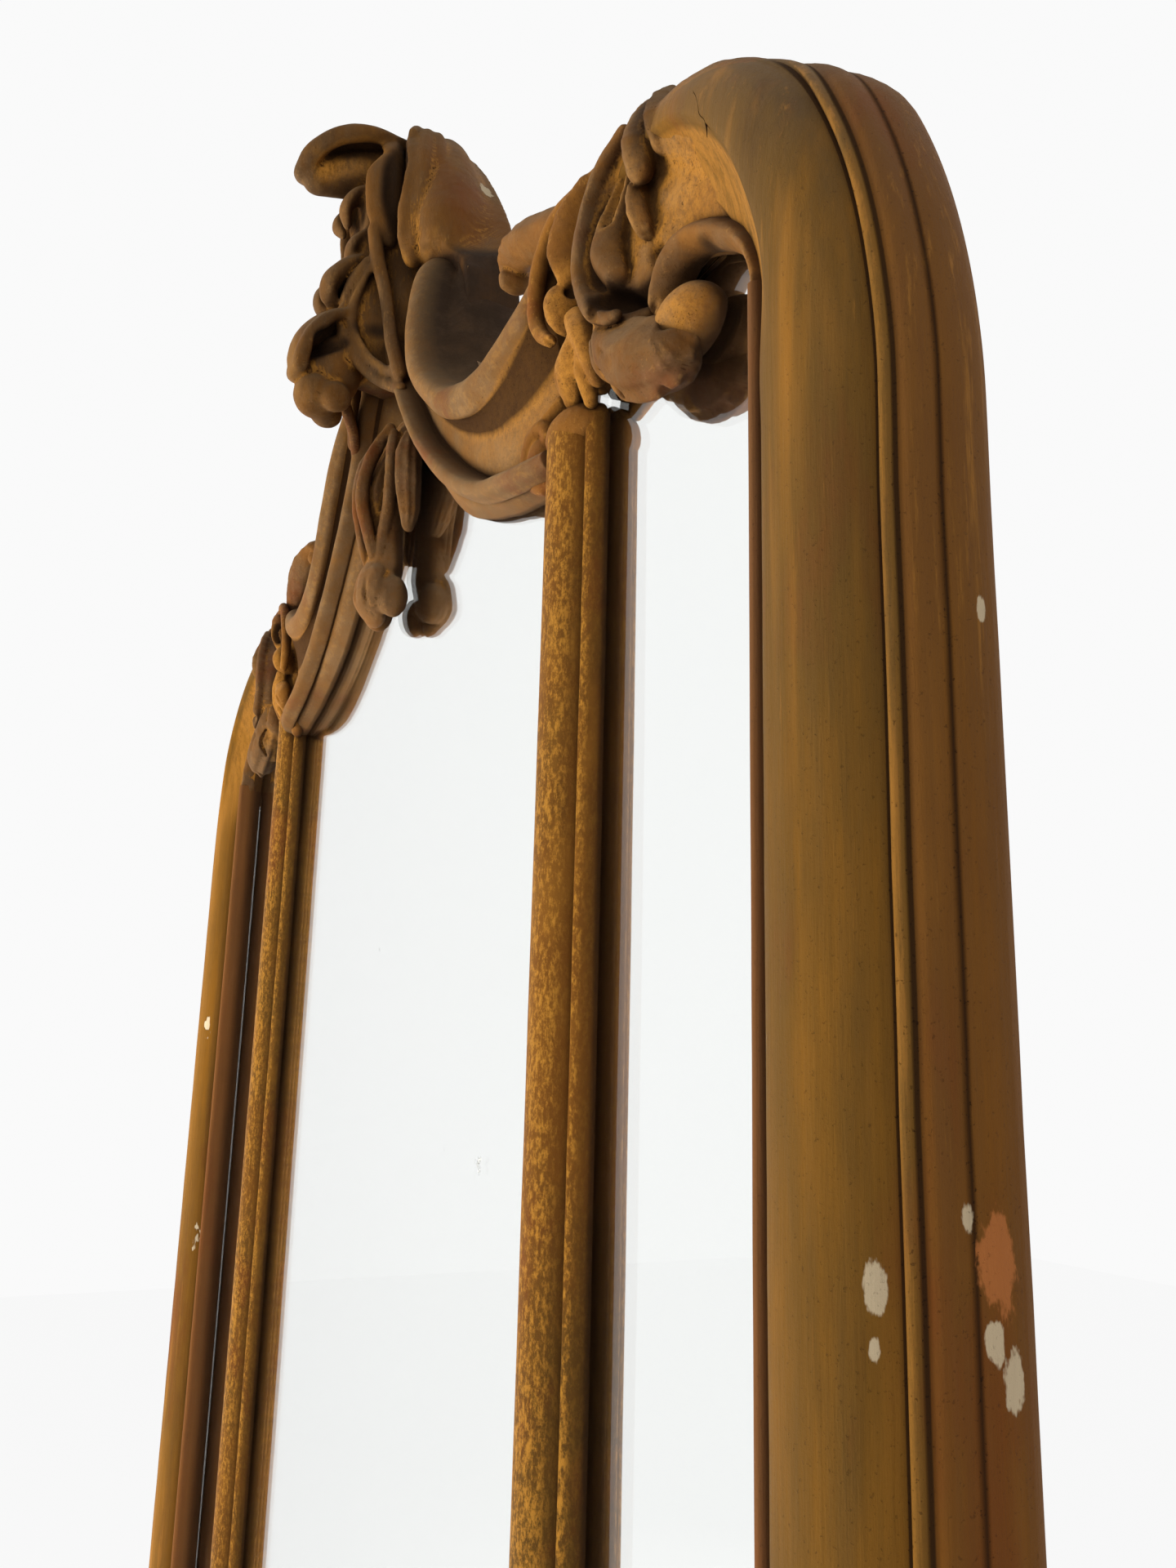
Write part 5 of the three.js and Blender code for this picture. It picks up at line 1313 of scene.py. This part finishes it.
def pendant_carving():
    """The pierced leaf that hangs where the rails meet."""
    block = Carving((0, 84, 0), (52, 240, 44), 1.0)
    block.put(leaf([(0, 232, 6), (0, 208, 12), (0, 180, 16), (0, 150, 14), (0, 126, 14), (0, 106, 15)],
                   [40, 54, 46, 30, 38, 28], [10, 18, 26, 22, 24, 18], side=SIDEWAYS), blend=2)
    block.put(strand([(14, 222, 20), (9, 204, 29), (5, 186, 33), (4, 170, 33), (6, 152, 29), (7, 134, 24)],
                     [3.6, 4.4, 4.6, 4.6, 4.4, 3.8]), blend=1.5)
    block.put(strand([(16, 218, 18), (22, 202, 20), (23, 184, 20), (18, 164, 19), (12, 146, 20),
                      (10, 130, 20)], [3.4, 4.2, 4.4, 4.2, 4, 3.4]), blend=1.5)
    block.take(leaf([(15, 208, 26), (15, 194, 28), (13, 178, 28), (11, 164, 26)], [26, 34, 32, 20],
                    [5, 8, 7, 3.5]), blend=1.2)
    block.put(leaf([(27, 214, 8), (34, 196, 12), (36, 176, 12), (32, 158, 9), (28, 148, 8)],
                   [12, 18, 18, 14, 8], [9, 14, 14, 11, 6], flutes=3, depth=0.8), blend=2)
    block.take(strand([(28, 204, 22), (32, 184, 23), (29, 164, 20)], [1.2, 2.2, 1.4]), blend=1.5)
    block.take(leaf([(4, 226, 26), (14, 230, 24), (26, 232, 20)], [20, 26, 16], [6, 9, 6]), blend=2)
    # ball at the foot, folded over and split by a groove
    block.put(leaf([(0, 132, 16), (0, 120, 21), (0, 106, 23), (0, 93, 18)], [22, 38, 42, 24],
                   [14, 20, 20, 13], side=SIDEWAYS), blend=2)
    block.put(knob((16, 104, 12), (8.5, 14, 10)), blend=2)
    block.take(strand([(0, 136, 32), (0, 118, 34), (0, 98, 34)], [1.5, 2.4, 1.5]), blend=3)
    block.take(strand([(9, 132, 28), (13, 116, 31), (10, 98, 28)], [1.2, 1.8, 1.2]), blend=2)
    return block.weather(0.3, 8, 16).flat_back(0.3).both_halves()


# ---------------------------------------------------------------- foot of the frame
def corner_carving():
    """A leaf clasp over the mitre at the foot."""
    x0, z0 = TORUS_X, BOTTOM_Z
    block = Carving((x0 - 94, z0 - 32, 8), (x0 + 36, z0 + 96, 60), 1.4)

    for dx, dz, side in ((2, 40, SIDEWAYS), (40, 2, UPWARDS)):
        line = [(x0 - dx * share, z0 + dz * share, h) for share,
                h in ((0.1, 30), (1, 35), (1.7, 29), (2, 24))]
        block.put(leaf(line, [22, 50, 40, 10], [16, 18, 14, 8], side=side, cup=-6, flutes=4, depth=1.0),
                  blend=2.5)
    block.put(leaf([(x0 - 4, z0 + 4, 32), (x0 - 20, z0 + 20, 36), (x0 - 34, z0 + 34, 26),
                    (x0 - 40, z0 + 40, 18)],
                   [26, 40, 26, 8], [16, 16, 14, 10], side=np.array((0.7071, 0.7071, 0))), blend=2.5)
    block.put(knob((x0, z0, 27), (21, 21, 15)), blend=3)
    block.take(knob((x0, z0, 44), (7, 7, 5)), blend=3)
    return block.weather(0.35, 9, 18)


def shell_carving():
    """The small shell in the middle of the foot."""
    low = BOTTOM_Z - 6
    block = Carving((0, low - 18, 8), (84, low + 84, 62), 1.4)
    for degrees in (0, 22, 44, 66):
        angle = math.radians(degrees)
        reach = 78 - 18 * abs(math.sin(angle))

        def point(share, h):
            return (math.sin(angle) * reach * share, low + math.cos(angle) * reach * share, h)

        side = np.array((math.cos(angle), -math.sin(angle), 0))
        block.put(leaf([point(0.1, 32), point(0.5, 37), point(0.85, 35), point(1, 28)],
                       [8, 20, 27, 14], [14, 16, 15, 10], side=side), blend=2)
        block.take(strand([point(0.4, 46), point(0.7, 46), point(0.95, 42)], [0.8, 1.6, 1.4]), blend=3)
    block.put(knob((0, low, 31), (17, 15, 16)), blend=2)
    return block.weather(0.35, 9, 20).both_halves()


def add_carving():
    """Every carved piece with its finish and the nodes that it stands for."""
    carved("acanthus_carving", shoulder_carving(), carved_gilding, "aged_gilding", ("shoulder_acanthus",))
    carved("volute_carving", volute_carving(), carved_gilding, "dusty_gilding", ("sight_bead",))
    carved("clasp_carving", clasp_carving(), bright_gilding, "rubbed_gilding", ("shoulder_clasp",))
    carved("rail_tip_carving", rail_tip_carving(), carved_gilding, "dusty_gilding", ("rail_tip_leaf",))
    carved("bar_head_carving", bar_head_carving(), bright_gilding, "rubbed_gilding", ("bar_volute",))
    crest_nodes = ["crest_block", "crest_keel", "crest_hood", "crest_curl"] + [
        f"{name}_{hand}" for name in ("crest_rib", "crest_cheek", "crest_lobe") for hand in ("right", "left")]
    carved("crest_carving", crest_carving(), flank_gilding, "dusty_gilding", crest_nodes, False, None)
    carved("pendant_carving", pendant_carving(), carved_gilding, "dusty_gilding", ("pendant_leaf",), False)
    carved("corner_carving", corner_carving(), carved_gilding, "aged_gilding", ("corner_leaf",), floor=None)
    carved("bottom_shell_carving", shell_carving(), carved_gilding, "aged_gilding", ("bottom_shell",),
           False, None)


# ---------------------------------------------------------------- plates, pine and iron
def plate_glass():
    """Old glass, faintly green."""
    paint = Paint("plate_glass", 0.0, 0.0, IOR=1.5, Transmission_Weight=1.0)
    haze = paint.noise(3, 4, 0.6)
    paint.feed(Base_Color=paint.mixed(haze.between(0.3, 0.7), (0.982, 0.995, 0.986), (0.988, 0.997, 0.99)))
    return paint.material


def silvering():
    """Tin and mercury behind the glass, spotted where it has gone."""
    paint = Paint("silvering", 1.0, 0.03)
    spots = paint.noise(26, 6, 0.75)
    fox = paint.noise(4, 3, 0.6, EVEN, (2, 5, 1))
    worn = (spots + fox * 0.5).between(0.98, 1.06)
    paint.feed(Base_Color=paint.mixed(worn * 0.7, (0.975, 0.98, 0.975), srgb(92, 84, 70)),
               Roughness=(0.02 + worn * 0.35))
    return paint.material


def pine():
    """Bare, grimy softwood with its grain upright, and painted shade in its corners."""
    paint = Paint("old_pine", 0.0, 0.8)
    rings = paint.noise(30, 5, 0.65, (1, 1, 0.06))
    pores = paint.noise(220, 4, 0.7, (1, 1, 0.04))
    grime = paint.noise(5, 5, 0.65)
    colour = paint.mixed(rings.between(0.35, 0.65), srgb(150, 116, 78), srgb(118, 86, 54))
    colour = paint.mixed(pores.between(0.5, 0.75) * 0.6, colour, srgb(82, 58, 36))
    colour = paint.mixed((grime.between(0.4, 0.75) * 0.6), colour, srgb(96, 80, 62))
    # painted shade: ambient occlusion darkens the pine in its corners and joints
    colour = paint.mixed(paint.occlusion_shade(0.03).between(0.3, 0.9) * 0.8, colour, srgb(50, 38, 26))
    paint.feed(Base_Color=colour, Roughness=0.72 + grime * 0.2)
    paint.feed(Normal=paint.bumped(rings * 0.6 + pores, 0.0006, 0.9))
    return paint.material


def wrought_iron():
    """Dark iron with some rust."""
    paint = Paint("old_iron", 0.8, 0.55)
    rust = paint.noise(120, 6, 0.7)
    colour = paint.mixed(rust.between(0.45, 0.62), srgb(70, 66, 62), srgb(96, 58, 38))
    paint.feed(Base_Color=colour, Roughness=0.45 + rust * 0.4, Metallic=1 - rust.between(0.45, 0.62) * 0.8)
    paint.feed(Normal=paint.bumped(rust, 0.0004, 0.8))
    return paint.material


SILVER_DEPTH = 0.0067
SILVER_THICKNESS = 0.0001
SILVER_OVER = 0.0005
MERGED = 0.00002


def add_plates():
    """Glass on the three plates and a thin sheet of silvering behind each."""
    glass = plate_glass()
    silver = silvering()
    for name in ("mirror_plate_center", "mirror_plate_side_right", "mirror_plate_side_left"):
        plate = nodes[name]
        plate.data.materials[0] = glass
        mesh = plate.data.copy()
        front = GLASS_Y + SILVER_DEPTH
        for vertex in mesh.vertices:
            vertex.co.y = front if vertex.co.y < GLASS_Y + MM else front + SILVER_THICKNESS
        middle = sum((vertex.co for vertex in mesh.vertices), Vector()) / len(mesh.vertices)
        for vertex in mesh.vertices:
            vertex.co.x += SILVER_OVER * (1 if vertex.co.x < middle.x else -1)
            vertex.co.z += SILVER_OVER * (1 if vertex.co.z < middle.z else -1)
        shell = bmesh.new()
        shell.from_mesh(mesh)
        bmesh.ops.remove_doubles(shell, verts=shell.verts, dist=MERGED)
        shell.to_mesh(mesh)
        shell.free()
        sheet = bpy.data.objects.new(name.replace("mirror_plate", "silver_sheet"), mesh)
        bpy.context.scene.collection.objects.link(sheet)
        sheet.data.materials.clear()
        sheet.data.materials.append(silver)
        settle(sheet, "mirror_plate")


TONGUE_HALF_WIDTH = 0.003
TONGUE_HALF_THICKNESS = 0.002
BOX_FACES = [(0, 2, 3, 1), (4, 5, 7, 6), (0, 1, 5, 4), (2, 6, 7, 3), (0, 4, 6, 2), (1, 3, 7, 5)]


def dress_back():
    """Finishes for the carcass and its irons, and the tongues in the middle joints."""
    wood = pine()
    low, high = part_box("backboard_2")
    depth = (low.y + high.y) / 2
    for name, y, z_low, z_high in (
            ("head_tongue", GLASS_Y + 0.018, SPRINGING + 0.092, SPRINGING + 0.300),
            ("board_tongue", depth, low.z + 0.004, high.z - 0.004)):
        points = [(x, y + dy, z) for z in (z_low, z_high)
                  for dy in (-TONGUE_HALF_THICKNESS, TONGUE_HALF_THICKNESS)
                  for x in (-TONGUE_HALF_WIDTH, TONGUE_HALF_WIDTH)]
        faces = facing_out(np.array(points), BOX_FACES)
        settle(mesh_object(name, points, faces, wood, smooth=False), "pine")
    iron = wrought_iron()
    for name, node in nodes.items():
        if name.startswith("hanger"):
            node.data.materials[0] = iron
        elif name.startswith(("back", "plate_batten", "glass_block")):
            node.data.materials[0] = wood
        elif name.startswith("bar_foot"):
            node.data.materials[0] = bright_gilding


# ---------------------------------------------------------------- camera, floor and light
SENSOR = 36
PHOTO_HEIGHT = 1920
FOCAL_PIXELS = 1509.33
CAMERA_PLACE = (0.7511, GLASS_Y - 0.2213, 1.139)
YAW, PITCH, ROLL = 0.4479, 0.2225, 0.0246
ABOVE = Vector((0, 0, 1))


def add_camera():
    """The camera where the photograph was taken from."""
    level = Vector((-math.cos(YAW), math.sin(YAW), 0))
    ahead = (level * math.cos(PITCH) + ABOVE * math.sin(PITCH)).normalized()
    right = ahead.cross(ABOVE).normalized()
    up = right.cross(ahead)
    right, up = (right * math.cos(ROLL) + up * math.sin(ROLL), up * math.cos(ROLL) - right * math.sin(ROLL))
    data = bpy.data.cameras.new("camera")
    data.sensor_fit = "VERTICAL"
    data.sensor_height = SENSOR
    data.lens = SENSOR * FOCAL_PIXELS / PHOTO_HEIGHT
    data.clip_start = 0.01
    camera = bpy.data.objects.new("camera", data)
    turn = Matrix((right, up, -ahead)).transposed().to_4x4()
    camera.matrix_world = Matrix.Translation(CAMERA_PLACE) @ turn
    bpy.context.scene.collection.objects.link(camera)
    bpy.context.scene.camera = camera


PALE = (0.955, 0.955, 0.955, 1)
SKY_LEVEL = 0.26
FLOOR_HALF = 6
FLOOR_Z = -0.0005
FLOOR_WHITENESS = 0.97


def add_world(level):
    """White where the camera, a reflection or glass looks past the object, plain pale light elsewhere."""
    sky = bpy.data.worlds.new("studio")
    bpy.context.scene.world = sky
    sky.use_nodes = True
    tree = sky.node_tree
    tree.nodes.clear()
    path = tree.nodes.new("ShaderNodeLightPath")
    seen = tree.nodes.new("ShaderNodeMath")
    seen.operation = "MAXIMUM"
    seen_too = tree.nodes.new("ShaderNodeMath")
    seen_too.operation = "MAXIMUM"
    tree.links.new(path.outputs["Is Camera Ray"], seen.inputs[0])
    tree.links.new(path.outputs["Is Glossy Ray"], seen.inputs[1])
    tree.links.new(seen.outputs[0], seen_too.inputs[0])
    tree.links.new(path.outputs["Is Transmission Ray"], seen_too.inputs[1])
    pale = tree.nodes.new("ShaderNodeBackground")
    pale.inputs["Color"].default_value = PALE
    light = tree.nodes.new("ShaderNodeBackground")
    light.inputs["Color"].default_value = (1, 0.985, 0.96, 1)
    light.inputs["Strength"].default_value = level
    mix = tree.nodes.new("ShaderNodeMixShader")
    tree.links.new(seen_too.outputs[0], mix.inputs[0])
    tree.links.new(light.outputs[0], mix.inputs[1])
    tree.links.new(pale.outputs[0], mix.inputs[2])
    out = tree.nodes.new("ShaderNodeOutputWorld")
    tree.links.new(mix.outputs[0], out.inputs[0])


def add_lamp(name, place, target, size, watts, tint=(1, 1, 1)):
    """A soft round lamp that reflections do not show."""
    data = bpy.data.lights.new(name, "AREA")
    data.shape = "DISK"
    data.size = size
    data.energy = watts
    data.color = tint
    lamp = bpy.data.objects.new(name, data)
    way = Vector(target) - Vector(place)
    lamp.matrix_world = Matrix.Translation(place) @ way.to_track_quat("-Z", "Y").to_matrix().to_4x4()
    lamp.visible_glossy = False
    bpy.context.scene.collection.objects.link(lamp)


def add_floor():
    """A pale floor that the camera and reflections see as nearly white."""
    paint = Paint("pale_floor", 0.0, 0.8)
    cloud = paint.noise(2, 3)
    paint.feed(Base_Color=paint.mixed(cloud, (0.82, 0.82, 0.81), (0.86, 0.86, 0.85)))
    path = paint.tree.nodes.new("ShaderNodeLightPath")
    seen = Wire(paint, path.outputs["Is Camera Ray"]) + Wire(paint, path.outputs["Is Glossy Ray"])
    seen = (seen + Wire(paint, path.outputs["Is Transmission Ray"])).clamped()
    glow = paint.tree.nodes.new("ShaderNodeEmission")
    glow.inputs["Color"].default_value = PALE
    mix = paint.tree.nodes.new("ShaderNodeMixShader")
    paint.tree.links.new((seen * FLOOR_WHITENESS).socket, mix.inputs[0])
    paint.tree.links.new(paint.shader.outputs[0], mix.inputs[1])
    paint.tree.links.new(glow.outputs[0], mix.inputs[2])
    paint.tree.links.new(mix.outputs[0], paint.tree.nodes["Material Output"].inputs[0])
    points = [(x * FLOOR_HALF, y * FLOOR_HALF, FLOOR_Z) for x, y in ((-1, -1), (1, -1), (1, 1), (-1, 1))]
    floor = mesh_object("floor", points, [(0, 1, 2, 3)], paint.material, smooth=False)


add_camera()
add_world(SKY_LEVEL)
add_lamp("window", (-1.5, -2.3, 0.9), (0.2, 0, 1.4), size=1.2, watts=145, tint=(1, 0.97, 0.91))
add_lamp("room", (2.2, -1.8, 1.6), (0, 0, 1.2), size=1.6, watts=26)
add_lamp("behind", (0.6, 2.6, 2.0), (0, 0, 1.0), size=2.0, watts=22)
add_floor()
add_mouldings()
add_runs()
add_rails()
add_carving()
add_plates()
dress_back()

bpy.context.scene.view_settings.view_transform = "Standard"
